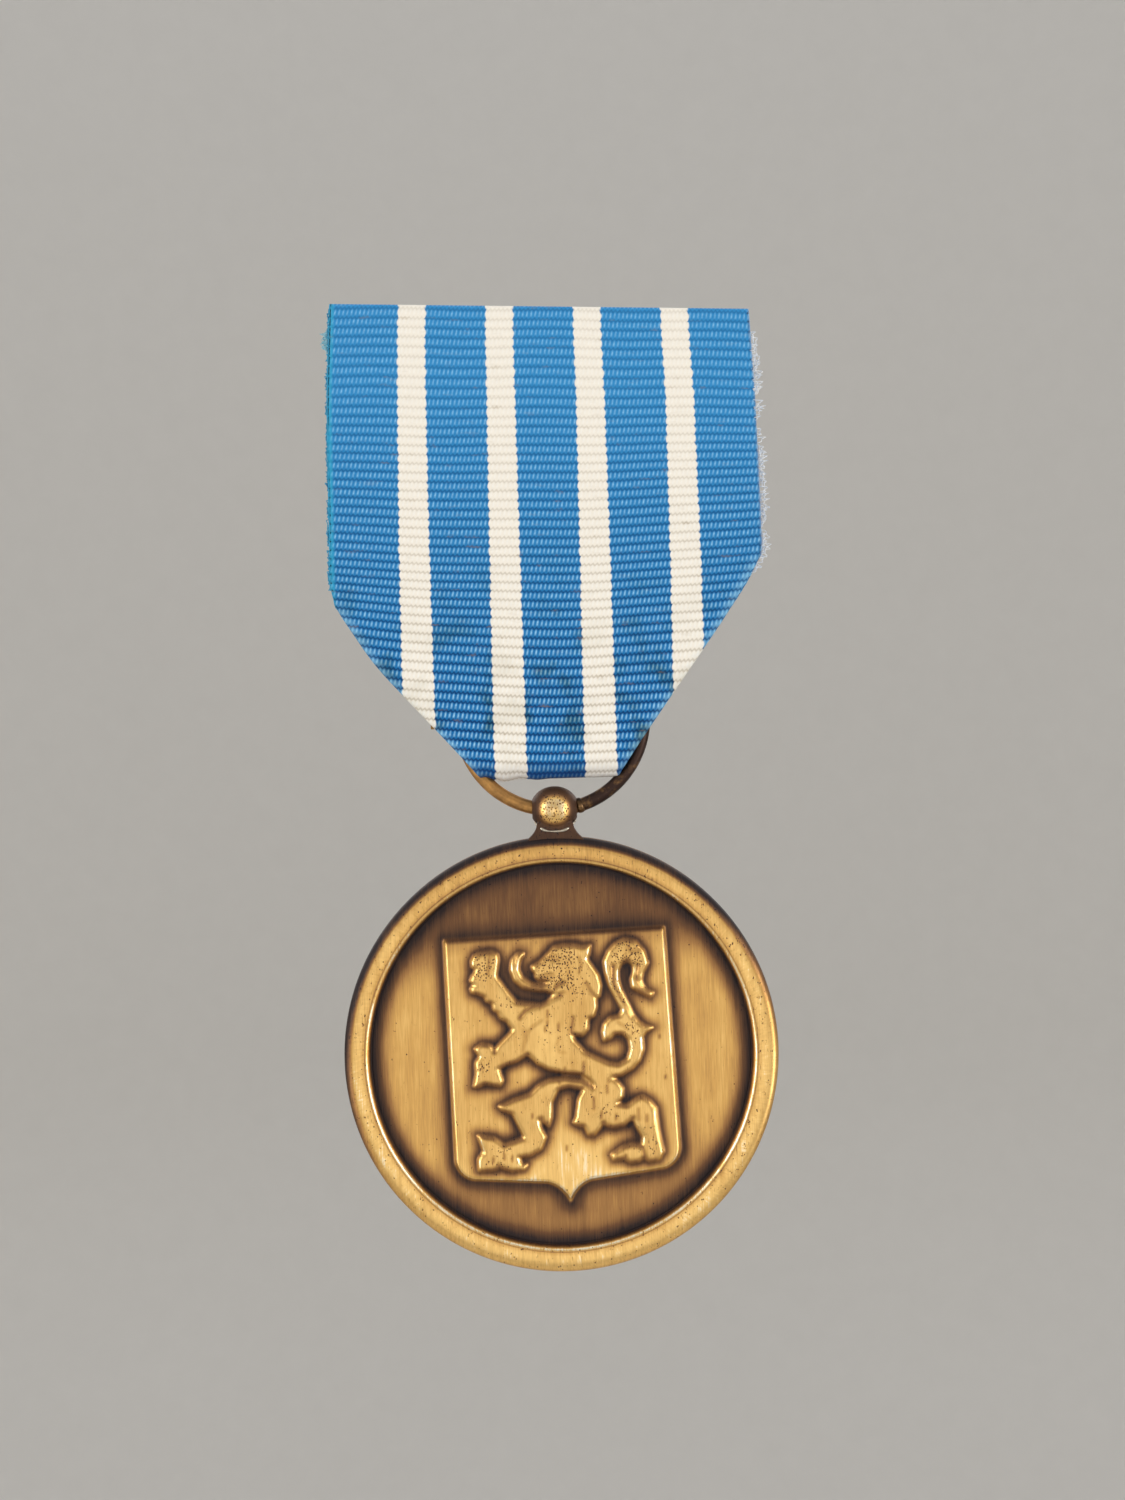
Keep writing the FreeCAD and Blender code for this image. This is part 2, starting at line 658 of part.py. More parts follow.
def make_hem_stitches():
    """One loop of thread from each sewing hole over the bar's edge into the cloth."""
    loops = []
    upright = Rotation(Vector(1, 1, 1), 120)
    for row_side, row_name in ((1, "high"), (-1, "low")):
        for step in range(4):
            loop = doc.addObject("Part::Torus", f"hem_thread_{row_name}_{step + 1}")
            bind(loop, Radius1="Dims.stitch_rad", Radius2="Dims.thread_rad", Angle3="180")
            turned = upright.multiply(Rotation(Vector(0, 0, 1), -90))
            place(
                loop,
                f"Dims.sew_first + Dims.sew_pitch * {step}",
                "Dims.ribbon_back",
                f"Dims.stitch_up * {row_side}",
                turned,
            )
            loops.append(loop)
    group = combine("Part::Compound", "hem_thread_group", Links=loops)
    return keep(group, "hem_stitches")


def make_hinge():
    """A bracket with two rounded ears on a base that is brazed to the bar."""
    ears = cylinder(
        "ear_round", "Dims.ear_wide / 2", "Dims.ear_high", x="Dims.hinge_side", z="-Dims.ear_high / 2"
    )
    block = box(
        "ear_block",
        "Dims.ear_wide",
        "-Dims.bar_back",
        "Dims.ear_high",
        "Dims.hinge_side - Dims.ear_wide / 2",
        "Dims.bar_back",
        "-Dims.ear_high / 2",
    )
    slot = box(
        "ear_gap",
        "Dims.ear_wide + 2",
        "Dims.ear_wide - Dims.bar_back",
        "Dims.ear_slot",
        "Dims.hinge_side - Dims.ear_wide / 2 - 1",
        "Dims.bar_back + Dims.base_thick",
        "-Dims.ear_slot / 2",
    )
    hole = cylinder(
        "ear_hole", "Dims.rivet_rad", "Dims.ear_high + 2", x="Dims.hinge_side", z="-Dims.ear_high / 2 - 1"
    )
    whole = combine("Part::MultiFuse", "ear_whole", Shapes=[ears, block])
    slotted = combine("Part::Cut", "ear_slotted", Base=whole, Tool=slot)
    drilled = combine("Part::Cut", "ear_drilled", Base=slotted, Tool=hole)
    return keep(drilled, "brooch_hinge")


def make_rivet():
    """The hinge's rivet, with a flat head outside each ear."""
    shank = cylinder(
        "rivet_shank", "Dims.rivet_rad", "Dims.ear_high", x="Dims.hinge_side", z="-Dims.ear_high / 2"
    )
    heads = []
    for name, start in (
        ("rivet_head_high", "Dims.ear_high / 2"),
        ("rivet_head_low", "-Dims.ear_high / 2 - Dims.rivet_head_high"),
    ):
        heads.append(cylinder(name, "Dims.rivet_head_rad", "Dims.rivet_head_high", x="Dims.hinge_side", z=start))
    whole = combine("Part::MultiFuse", "rivet_whole", Shapes=[shank, *heads])
    return keep(whole, "hinge_rivet")


def make_pin():
    """The needle: an eye about the rivet, a round shank and a sharp point."""
    along = Rotation(Vector(0, 1, 0), 90)
    eye = cylinder("pin_eye", "Dims.eye_rad", "Dims.eye_high", x="Dims.hinge_side", z="-Dims.eye_high / 2")
    shank = cylinder("pin_shank", "Dims.pin_rad", "Dims.pin_long", x="Dims.hinge_side", rotation=along)
    point = doc.addObject("Part::Cone", "pin_point")
    bind(point, Radius1="Dims.pin_rad", Radius2="Dims.pin_rad * 0.12", Height="Dims.point_long")
    place(point, "Dims.hinge_side + Dims.pin_long", "0", "0", along)
    hole = cylinder(
        "pin_eye_hole", "Dims.eye_hole_rad", "Dims.eye_high + 2", x="Dims.hinge_side", z="-Dims.eye_high / 2 - 1"
    )
    whole = combine("Part::MultiFuse", "pin_whole", Shapes=[eye, shank, point])
    drilled = combine("Part::Cut", "pin_drilled", Base=whole, Tool=hole)
    return keep(drilled, "brooch_pin")


def make_catch():
    """A C-shaped catch on a foot, its mouth facing back, where the pin snaps in."""
    along = Rotation(Vector(0, 1, 0), 90)
    side = "Dims.catch_side"
    outer = cylinder("catch_outer", "Dims.catch_out_rad", "Dims.catch_long", x=side, rotation=along)
    foot = box(
        "catch_base",
        "Dims.catch_long",
        "-Dims.bar_back - Dims.catch_in_rad",
        "Dims.catch_foot * 0.55",
        side,
        "Dims.bar_back",
        "-Dims.catch_foot * 0.275",
    )
    flange = box(
        "catch_flange",
        "Dims.catch_long",
        "Dims.base_thick * 0.7",
        "Dims.catch_foot",
        side,
        "Dims.bar_back",
        "-Dims.catch_foot / 2",
    )
    inner = cylinder("catch_inner", "Dims.catch_in_rad", "Dims.catch_long + 2", x=f"{side} - 1", rotation=along)
    mouth = box(
        "catch_mouth_box",
        "Dims.catch_long + 2",
        "Dims.catch_out_rad + 1",
        "Dims.catch_mouth",
        f"{side} - 1",
        "0",
        "-Dims.catch_mouth / 2",
    )
    whole = combine("Part::MultiFuse", "catch_whole", Shapes=[outer, foot, flange])
    bored = combine("Part::Cut", "catch_bored", Base=whole, Tool=inner)
    opened = combine("Part::Cut", "catch_opened", Base=bored, Tool=mouth)
    return keep(opened, "brooch_catch")


def check_and_write():
    """Stops on any failed object or bad shape, then writes one STEP file per sub-part."""
    doc.recompute()
    for item in doc.Objects:
        failed = [state for state in item.State if state in ("Invalid", "Error")]
        if failed:
            raise RuntimeError(f"{item.Name} is {failed}")
    os.makedirs("parts", exist_ok=True)
    for item in sub_parts:
        shape = item.Shape
        if shape.isNull() or not shape.isValid() or not shape.Solids:
            raise RuntimeError(f"{item.Label} has no valid solid")
        bounds = shape.BoundBox
        print(
            f"{item.Label}: {len(shape.Solids)} solids, {shape.Volume:.2f} mm3, "
            f"x {bounds.XMin:.2f} {bounds.XMax:.2f}, y {bounds.YMin:.2f} {bounds.YMax:.2f}, "
            f"z {bounds.ZMin:.2f} {bounds.ZMax:.2f}"
        )
        shape.exportStep(f"parts/{item.Label}.step")


make_disc()
make_ball()
make_solder()
make_ring()
make_ribbon_upper()
make_ribbon_tip()
make_fold_stitches()
make_staple()
make_bar()
make_hem_stitches()
make_hinge()
make_rivet()
make_pin()
make_catch()
check_and_write()
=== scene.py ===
"""The looks of a struck bronze medal on a folded silk ribbon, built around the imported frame.

Everything is in metres, +Z up, the front facing -Y. Sizes written with MM are millimetres.
"""
import json
import math

import bmesh
import bpy
import numpy as np
from mathutils import Matrix, Vector


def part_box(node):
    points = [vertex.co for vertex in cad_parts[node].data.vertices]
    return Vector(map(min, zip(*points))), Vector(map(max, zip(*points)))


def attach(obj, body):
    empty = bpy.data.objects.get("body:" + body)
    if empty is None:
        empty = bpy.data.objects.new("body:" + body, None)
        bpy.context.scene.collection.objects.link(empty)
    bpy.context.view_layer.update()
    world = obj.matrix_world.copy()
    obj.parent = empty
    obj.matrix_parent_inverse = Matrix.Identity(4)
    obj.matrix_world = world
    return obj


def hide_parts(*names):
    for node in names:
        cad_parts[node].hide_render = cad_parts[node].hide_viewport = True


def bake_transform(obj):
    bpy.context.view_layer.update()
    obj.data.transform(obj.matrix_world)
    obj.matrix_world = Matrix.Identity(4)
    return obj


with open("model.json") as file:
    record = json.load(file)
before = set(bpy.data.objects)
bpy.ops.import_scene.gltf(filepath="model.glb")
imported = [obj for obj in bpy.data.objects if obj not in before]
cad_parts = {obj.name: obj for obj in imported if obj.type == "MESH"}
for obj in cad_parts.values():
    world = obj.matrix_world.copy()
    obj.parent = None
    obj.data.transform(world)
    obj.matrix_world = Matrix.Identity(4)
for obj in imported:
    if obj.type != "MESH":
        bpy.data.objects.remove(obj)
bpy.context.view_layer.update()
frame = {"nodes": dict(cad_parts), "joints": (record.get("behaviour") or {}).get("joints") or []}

MM = 0.001
SEED = 7

JOINTS = {joint["name"]: joint for joint in frame["joints"]}
RING_CENTRE = Vector(JOINTS["ring_turn"]["pos_m"])
BALL_CENTRE = Vector(JOINTS["medal_swing"]["pos_m"])
FLEX = Vector(JOINTS["tip_flex"]["pos_m"])
DISC_LOW, DISC_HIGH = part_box("medal_disc")
DISC_CENTRE = (DISC_LOW + DISC_HIGH) / 2
UPPER_LOW, UPPER_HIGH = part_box("ribbon_upper")
TIP_LOW, TIP_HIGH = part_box("ribbon_tip")


# ---------------------------------------------------------------- small helpers


def smooth_step(value, start, end):
    """0 at start, 1 at end, and a smooth S between them."""
    share = np.clip((value - start) / (end - start), 0.0, 1.0)
    return share * share * (3 - 2 * share)


def new_mesh_object(name, points, faces):
    """A mesh object from points in metres and faces of point indices."""
    mesh = bpy.data.meshes.new(name)
    mesh.from_pydata(np.asarray(points).tolist(), [], faces)
    mesh.validate()
    piece = bpy.data.objects.new(name, mesh)
    bpy.context.scene.collection.objects.link(piece)
    mesh.polygons.foreach_set("use_smooth", [True] * len(mesh.polygons))
    mesh.update()
    return piece


def set_attribute(piece, name, values):
    """A number at each point of a mesh, which its material reads."""
    layer = piece.data.attributes.new(name, "FLOAT", "POINT")
    layer.data.foreach_set("value", np.asarray(values, np.float32))


def apply_modifiers(piece):
    """Replaces a piece's mesh with what its modifiers make of it."""
    graph = bpy.context.evaluated_depsgraph_get()
    made = bpy.data.meshes.new_from_object(piece.evaluated_get(graph))
    piece.modifiers.clear()
    piece.data = made
    made.polygons.foreach_set("use_smooth", [True] * len(made.polygons))


def grid_faces(rows, columns, offset=0, flip=False):
    """Four-sided faces of a grid of points stored row by row."""
    corner = (np.arange(rows - 1)[:, None] * columns + np.arange(columns - 1)[None, :]).ravel() + offset
    quads = np.stack([corner, corner + 1, corner + columns + 1, corner + columns], axis=1)
    return quads[:, ::-1] if flip else quads


def turned_faces(rows, sides, closed=False):
    """Faces between rings of points, with a cap at both ends unless the last ring meets the first."""
    faces = []
    for row in range(rows if closed else rows - 1):
        here = row * sides
        after = (row + 1) % rows * sides
        for step in range(sides):
            beside = (step + 1) % sides
            faces.append([here + step, here + beside, after + beside, after + step])
    if not closed:
        faces.append(list(range(sides))[::-1])
        faces.append([(rows - 1) * sides + step for step in range(sides)])
    return faces


def tube(path, radius, sides=6, closed=False):
    """Points and faces of a round tube along a path. radius is one number or one for each point."""
    path = np.asarray(path, float)
    count = len(path)
    radii = np.full(count, radius) if np.isscalar(radius) else np.asarray(radius, float)
    if closed:
        ahead = np.roll(path, -1, 0) - np.roll(path, 1, 0)
    else:
        ahead = np.gradient(path, axis=0)
    ahead /= np.linalg.norm(ahead, axis=1)[:, None] + 1e-12
    side = np.cross(ahead[0], (0.31, 0.12, 0.94))
    if np.linalg.norm(side) < 0.2:
        side = np.cross(ahead[0], (0.9, 0.3, 0.1))
    points = []
    for here, along, size in zip(path, ahead, radii):
        side = side - along * side.dot(along)
        side = side / np.linalg.norm(side)
        other = np.cross(along, side)
        for step in range(sides):
            turn = 2 * math.pi * step / sides
            points.append(here + size * (math.cos(turn) * side + math.sin(turn) * other))
    return points, turned_faces(count, sides, closed)


def join_shapes(name, shapes):
    """One object from several (points, faces) shapes."""
    points, faces = [], []
    for shape_points, shape_faces in shapes:
        start = len(points)
        points.extend(shape_points)
        faces.extend([[start + index for index in face] for face in shape_faces])
    return new_mesh_object(name, points, faces)


# ---------------------------------------------------------------- material helpers


class Nodes:
    """A short way to write a material's node tree."""

    def __init__(self, name):
        self.material = bpy.data.materials.new(name)
        self.material.use_nodes = True
        self.tree = self.material.node_tree
        self.tree.nodes.clear()
        self.out = self.tree.nodes.new("ShaderNodeOutputMaterial")
        self.shader = self.tree.nodes.new("ShaderNodeBsdfPrincipled")
        self.tree.links.new(self.shader.outputs["BSDF"], self.out.inputs["Surface"])

    def put(self, socket, value):
        """Links a node's output to a socket, or sets the socket's own value."""
        if isinstance(value, bpy.types.NodeSocket):
            self.tree.links.new(value, socket)
        else:
            socket.default_value = value

    def math(self, operation, first, second=0.0, third=0.0, clamp=False):
        """One sum of up to three values, each a socket or a number."""
        node = self.tree.nodes.new("ShaderNodeMath")
        node.operation = operation
        node.use_clamp = clamp
        for socket, value in zip(node.inputs, (first, second, third)):
            self.put(socket, value)
        return node.outputs[0]

    def plus(self, first, second):
        return self.math("ADD", first, second)

    def minus(self, first, second):
        return self.math("SUBTRACT", first, second)

    def times(self, first, second, clamp=False):
        return self.math("MULTIPLY", first, second, clamp=clamp)

    def times_plus(self, first, second, third, clamp=False):
        return self.math("MULTIPLY_ADD", first, second, third, clamp)

    def attribute(self, name):
        node = self.tree.nodes.new("ShaderNodeAttribute")
        node.attribute_name = name
        return node.outputs["Fac"]

    def stretched(self, vector, scale):
        mapping = self.tree.nodes.new("ShaderNodeMapping")
        mapping.inputs["Scale"].default_value = scale
        self.tree.links.new(vector, mapping.inputs["Vector"])
        return mapping.outputs["Vector"]

    def coordinates(self, scale=(1.0, 1.0, 1.0)):
        """The piece's own coordinates, stretched."""
        return self.stretched(self.tree.nodes.new("ShaderNodeTexCoord").outputs["Object"], scale)

    def split(self, vector):
        """A vector's three parts."""
        parts = self.tree.nodes.new("ShaderNodeSeparateXYZ")
        self.tree.links.new(vector, parts.inputs["Vector"])
        return parts.outputs

    def noise(self, vector, scale, detail=3.0, roughness=0.55):
        node = self.tree.nodes.new("ShaderNodeTexNoise")
        self.put(node.inputs["Vector"], vector)
        node.inputs["Scale"].default_value = scale
        node.inputs["Detail"].default_value = detail
        node.inputs["Roughness"].default_value = roughness
        return node.outputs["Fac"]

    def grain(self, scale, detail, roughness=0.55):
        """Noise in the piece's own coordinates, with its scale along X, Y and Z."""
        return self.noise(self.coordinates(scale), 1.0, detail, roughness)

    def dots(self, scale):
        """The distance to the nearest of scattered points."""
        node = self.tree.nodes.new("ShaderNodeTexVoronoi")
        self.put(node.inputs["Vector"], self.coordinates(scale))
        node.inputs["Scale"].default_value = 1.0
        return node.outputs["Distance"]

    def ramp(self, value, stops):
        node = self.tree.nodes.new("ShaderNodeValToRGB")
        elements = node.color_ramp.elements
        while len(elements) < len(stops):
            elements.new(0.5)
        for element, (place, colour) in zip(elements, stops):
            element.position = place
            element.color = colour
        self.put(node.inputs["Fac"], value)
        return node.outputs["Color"]

    def span(self, value, low, high, to_low=0.0, to_high=1.0):
        """Maps low..high to to_low..to_high, held inside it."""
        node = self.tree.nodes.new("ShaderNodeMapRange")
        for name, number in (("From Min", low), ("From Max", high), ("To Min", to_low), ("To Max", to_high)):
            node.inputs[name].default_value = number
        self.put(node.inputs["Value"], value)
        return node.outputs["Result"]

    def mix(self, share, first, second, blend="MIX"):
        node = self.tree.nodes.new("ShaderNodeMix")
        node.data_type = "RGBA"
        node.blend_type = blend
        self.put(node.inputs["Factor"], share)
        self.put(node.inputs[6], first)
        self.put(node.inputs[7], second)
        return node.outputs[2]

    def bump(self, height, strength, distance):
        node = self.tree.nodes.new("ShaderNodeBump")
        node.inputs["Strength"].default_value = strength
        node.inputs["Distance"].default_value = distance
        self.put(node.inputs["Height"], height)
        self.tree.links.new(node.outputs["Normal"], self.shader.inputs["Normal"])

    def finish(self, **sockets):
        """Sets the shader's sockets, named with underscores for spaces, and returns the material."""
        for name, value in sockets.items():
            self.put(self.shader.inputs[name.replace("_", " ")], value)
        return self.material


def srgb(red, green, blue):
    """A colour from display values of 0 to 255, as the shader wants it."""
    made = []
    for value in (red, green, blue):
        share = value / 255
        made.append(share / 12.92 if share <= 0.04045 else ((share + 0.055) / 1.055) ** 2.4)
    return (*made, 1.0)


def paint(piece, material):
    piece.data.materials.clear()
    piece.data.materials.append(material)


def stand_for(piece, node, material, body):
    """Paints a piece that rides on a body in place of one CAD part."""
    paint(piece, material)
    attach(piece, body)
    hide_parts(node)


# ---------------------------------------------------------------- materials

# Tones from light to dark. The palest stop is a painted highlight, laid on side-facing bevels and the rim's
# inner bevel; the dark end serves both patina and painted shade.
BRONZE_STOPS = [
    (0.0, srgb(255, 240, 206)),
    (0.07, srgb(246, 203, 126)),
    (0.24, srgb(216, 168, 96)),
    (0.45, srgb(170, 124, 74)),
    (0.70, srgb(112, 77, 50)),
    (1.0, srgb(40, 28, 28)),
]


def bronze_material(name, brushed=1.0):
    """Patinated bronze: its tone mixes grime in the hollows with painted shade and painted highlights, plus
    fine upright brush marks, pits, and bright worn spots on the ball.
    """
    made = Nodes(name)
    # A number at each point that mixes grime with painted shade and painted highlight.
    grime_and_light = made.attribute("grime_and_light")
    density = made.attribute("pits")
    strokes = made.grain((9000, 1500, 420), 2.0, 0.6)
    broad = made.grain((1500, 700, 90), 2.0)
    clouds = made.grain((260, 260, 190), 3.0)
    tone = made.times_plus(made.minus(strokes, 0.5), 0.26 * brushed, grime_and_light)
    tone = made.times_plus(made.minus(broad, 0.5), 0.16 * brushed, tone)
    tone = made.times_plus(made.minus(clouds, 0.5), 0.22, tone)
    holes = made.span(made.dots((5600, 5600, 4600)), 0.20, 0.42, 1.0, 0.0)
    chance = made.grain((2600, 2600, 2200), 1.0)
    open_ground = made.minus(made.times_plus(density, 0.50, chance), 0.70)
    pit_mask = made.times(holes, made.times(open_ground, 9.0, clamp=True))
    fine = made.span(made.grain((7500, 2000, 1300), 1.0), 0.69, 0.76)
    scratch_mask = made.times(fine, made.times_plus(density, 0.9, 0.12), clamp=True)
    marks = made.math("MAXIMUM", pit_mask, scratch_mask)
    tone = made.times_plus(marks, 0.8, tone, clamp=True)
    made.bump(made.minus(made.times(strokes, 0.2), marks), 0.35, 0.03 * MM)
    return made.finish(
        Base_Color=made.ramp(tone, BRONZE_STOPS),
        Metallic=made.span(tone, 0.0, 1.0, 0.95, 0.5),
        Roughness=made.span(tone, 0.0, 1.0, 0.33, 0.55),
    )


DARK_SHARE = 0.75


def wire_material(name, light, dark):
    """Drawn wire: light at the ring's left and dark at its right, with stains and fine marks."""
    made = Nodes(name)
    stain = made.grain((900, 900, 900), 4.0, 0.65)
    fine = made.grain((4200, 4200, 4200), 2.0)
    side = made.times(made.span(made.split(made.coordinates())["X"], -2.5 * MM, 4.0 * MM), DARK_SHARE)
    # Tarnish stains, and a darkening towards the ring's right that depends on X alone.
    stain_and_side = made.times_plus(made.minus(stain, 0.5), 1.5, made.plus(side, 0.3), clamp=True)
    colour = made.mix(stain_and_side, light, dark)
    made.bump(fine, 0.25, 0.03 * MM)
    return made.finish(
        Base_Color=colour,
        Metallic=0.9,
        Roughness=made.span(stain, 0.3, 0.7, 0.32, 0.55),
    )


def metal_material(name, colour, stain_colour, roughness=0.35, grain=(900, 900, 900)):
    """Plain metal with uneven tarnish and fine marks."""
    made = Nodes(name)
    stain = made.grain((520, 520, 520), 4.0, 0.6)
    fine = made.noise(made.coordinates(grain), 2.0, 3.0)
    tint = made.mix(made.span(stain, 0.4, 0.68), colour, stain_colour)
    made.bump(fine, 0.2, 0.03 * MM)
    return made.finish(
        Base_Color=tint,
        Metallic=0.95,
        Roughness=made.span(fine, 0.3, 0.7, roughness - 0.08, roughness + 0.12),
    )


def thread_material(name, colour, shade):
    """Spun thread: strands that wind round it, in two tones mixed by noise."""
    made = Nodes(name)
    strands = made.grain((5200, 5200, 5200), 2.0)
    tint = made.mix(made.span(strands, 0.35, 0.65), shade, colour)
    made.bump(strands, 0.4, 0.03 * MM)
    return made.finish(Base_Color=tint, Roughness=0.8, Sheen_Weight=0.3)


# ---------------------------------------------------------------- disc relief

# The relief's grid step and half width in millimetres, and how far the shield is turned, in degrees.
RELIEF_PITCH = 0.05
RELIEF_REACH = 17.0
RELIEF_TURN = 2.0


def facing_levels(mesh):
    """The levels (y) of the CAD disc's faces that look to the front, nearest first, with their triangles."""
    mesh.calc_loop_triangles()
    points = np.array([vertex.co for vertex in mesh.vertices]) / MM
    triangles = np.array([triangle.vertices for triangle in mesh.loop_triangles])
    normals = np.array([triangle.normal for triangle in mesh.loop_triangles])
    facing = triangles[normals[:, 1] < -0.999]
    heights = np.round(points[facing[:, 0], 1], 2)
    return points, {level: facing[heights == level] for level in sorted(set(heights))}


def outline_of(points, triangles):
    """The edges round a flat face, as pairs of (across, up) from the disc's centre, in millimetres."""
    flat = np.stack([points[:, 0] - DISC_CENTRE.x / MM, points[:, 2] - DISC_CENTRE.z / MM], axis=1)
    counts = {}
    for triangle in triangles:
        for first, second in ((0, 1), (1, 2), (2, 0)):
            ends = [tuple(np.round(flat[triangle[corner]], 4)) for corner in (first, second)]
            counts.setdefault(tuple(sorted(ends)), []).append(ends)
    return [ends[0] for ends in counts.values() if len(ends) == 1]


def gap_squared(start, run, across, up):
    """The squared distance from places to the straight piece that runs from start by run."""
    right, above = across - start[0], up - start[1]
    along = np.clip((right * run[0] + above * run[1]) / (run[0] ** 2 + run[1] ** 2), 0, 1)
    return (right - along * run[0]) ** 2 + (above - along * run[1]) ** 2


def distance_inside(edges, across, up):
    """Distance from an outline, positive inside it."""
    nearest = np.full(across.shape, 1e9)
    inside = np.zeros(across.shape, bool)
    for (start_x, start_y), (end_x, end_y) in edges:
        run_x, run_y = end_x - start_x, end_y - start_y
        if run_x**2 + run_y**2 < 1e-12:
            continue
        np.minimum(nearest, gap_squared((start_x, start_y), (run_x, run_y), across, up), out=nearest)
        if run_y != 0:
            straddles = (start_y > up) != (end_y > up)
            inside ^= straddles & (across < start_x + (up - start_y) * run_x / run_y)
    return np.where(inside, 1.0, -1.0) * np.sqrt(nearest)


def blur(picture, width):
    """A soft average over width, in cells, by repeated box averages."""
    reach = max(1, int(round(width)))
    made = picture.astype(float)
    for axis in (0, 1):
        for _ in range(3):
            padded = np.pad(made, [(reach + 1, reach) if a == axis else (0, 0) for a in (0, 1)], mode="edge")
            total = np.cumsum(padded, axis=axis)
            size = 2 * reach + 1
            if axis == 0:
                made = (total[size:, :] - total[:-size, :]) / size
            else:
                made = (total[:, size:] - total[:, :-size]) / size
    return made


def distance_to_line(points, across, up):
    """Distance from an open line through a few points."""
    nearest = np.full(across.shape, 1e9)
    for (start_x, start_y), (end_x, end_y) in zip(points[:-1], points[1:]):
        run = (end_x - start_x, end_y - start_y)
        np.minimum(nearest, gap_squared((start_x, start_y), run, across, up), out=nearest)
    return np.sqrt(nearest)


# Carved lines of the lion, in the relief's own frame: the points of each, its width and its depth.
CARVED_LINES = [
    ([(-3.5, 3.5), (-3.0, 4.1), (-2.3, 4.4), (-1.5, 4.6), (-0.8, 4.9), (0.3, 5.3)], 0.11, 0.15),
    ([(-3.1, 1.4), (-2.9, 2.2), (-2.4, 2.7), (-1.6, 3.2)], 0.09, 0.07),
    ([(-3.4, 0.5), (-3.1, 1.6), (-3.2, 2.5)], 0.09, 0.06),
    ([(-3.4, 9.3), (-3.6, 8.75), (-3.7, 8.2)], 0.10, 0.16),
    ([(-2.0, 7.2), (-1.5, 7.0), (-0.9, 7.2), (-0.35, 7.2)], 0.08, 0.10),
    ([(-0.2, 6.0), (0.2, 6.3), (0.6, 6.4)], 0.14, 0.12),
    ([(-1.1, 5.6), (-0.25, 5.4), (0.6, 5.55)], 0.08, 0.09),
    ([(1.25, 3.3), (1.1, 2.6), (0.95, 1.8)], 0.10, 0.12),
    ([(-1.1, 8.8), (-0.55, 8.7), (0.05, 8.95)], 0.08, 0.08),
    ([(2.1, 8.6), (2.3, 7.9), (2.0, 7.2)], 0.09, 0.07),
    ([(-0.35, 8.45), (0.2, 8.5)], 0.09, 0.10),
    ([(2.6, 6.3), (2.9, 5.55), (3.4, 4.8)], 0.09, 0.12),
    ([(5.1, 7.6), (5.0, 5.9), (5.4, 4.95), (6.0, 4.0), (6.5, 3.0)], 0.17, 0.15),
    ([(7.15, 7.5), (7.0, 6.5), (7.55, 5.55)], 0.17, 0.15),
    ([(6.5, 9.4), (6.65, 8.9), (7.4, 8.8)], 0.09, 0.08),
    ([(-1.4, -1.4), (0.1, -1.7), (1.6, -1.9), (2.3, -2.4), (2.6, -3.0)], 0.14, 0.26),
    ([(-2.05, -5.45), (-2.0, -6.0), (-1.7, -6.6)], 0.10, 0.15),
    ([(7.7, -5.0), (8.05, -5.8), (7.9, -6.7), (8.2, -7.9), (8.5, -8.6)], 0.08, 0.08),
    ([(-0.1, 1.6), (-0.5, 0.9), (-0.2, 0.3), (0.4, 0.2)], 0.08, 0.04),
    ([(5.1, 2.7), (5.6, 2.3), (6.0, 1.9)], 0.08, 0.06),
    ([(7.3, 1.7), (7.75, 2.1)], 0.08, 0.08),
    ([(-5.8, 9.3), (-5.95, 8.3), (-6.1, 7.6)], 0.10, 0.08),
    ([(-7.8, 8.0), (-7.15, 7.95)], 0.09, 0.12),
    ([(-7.85, 6.6), (-7.25, 6.55)], 0.09, 0.12),
    ([(-7.9, 0.3), (-7.35, 0.25)], 0.09, 0.12),
    ([(-7.85, -1.0), (-7.5, -1.05)], 0.08, 0.10),
    ([(-6.7, -2.1), (-6.75, -2.6)], 0.10, 0.14),
    ([(-7.75, -7.9), (-7.4, -8.3)], 0.11, 0.14),
    ([(-6.15, -9.3), (-6.2, -10.1)], 0.09, 0.12),
    ([(-4.3, -8.75), (-3.7, -9.3)], 0.10, 0.12),
    ([(5.1, -9.25), (5.1, -9.9)], 0.09, 0.12),
    ([(6.7, -8.8), (6.85, -9.6)], 0.10, 0.12),
]

CUT_WIDTH = 0.055

# Short dark cuts left by the brushing: where each starts, and its length straight down.
CUTS = [
    (-1.0, 4.1, 0.7), (-1.05, 3.15, 0.4), (-1.3, 2.6, 0.4), (-0.1, 2.8, 0.5), (-0.3, -1.25, 0.5),
    (0.2, -1.1, 0.65), (-0.3, -2.1, 0.45), (1.9, -0.7, 1.0), (2.6, -3.9, 1.05), (3.85, -2.9, 0.7),
    (1.85, -1.05, 0.8), (4.05, -2.25, 0.45), (4.5, -5.55, 0.4), (6.5, -5.1, 1.1), (7.2, -5.7, 0.6),
    (-0.05, -8.1, 0.45), (1.1, -4.9, 0.5), (3.2, -5.2, 0.6), (5.6, -6.3, 0.5), (-5.6, -8.4, 0.5),
    (-6.6, -8.7, 0.4), (-4.9, -8.6, 0.5), (-2.9, -5.0, 0.4), (8.8, 1.2, 0.3), (9.1, -2.4, 0.3),
]

# Rounded masses of the body: across, up, reach and height.
SWELLS = [
    (0.4, 7.6, 1.7, 0.06), (-0.2, 3.6, 1.8, 0.04), (-0.4, 0.6, 2.0, 0.05), (-4.4, 4.8, 1.2, 0.04),
    (2.9, -4.4, 1.6, 0.05), (7.3, -6.6, 1.0, 0.06), (-3.0, -5.2, 1.2, 0.05), (6.2, 8.7, 1.1, 0.05),
]

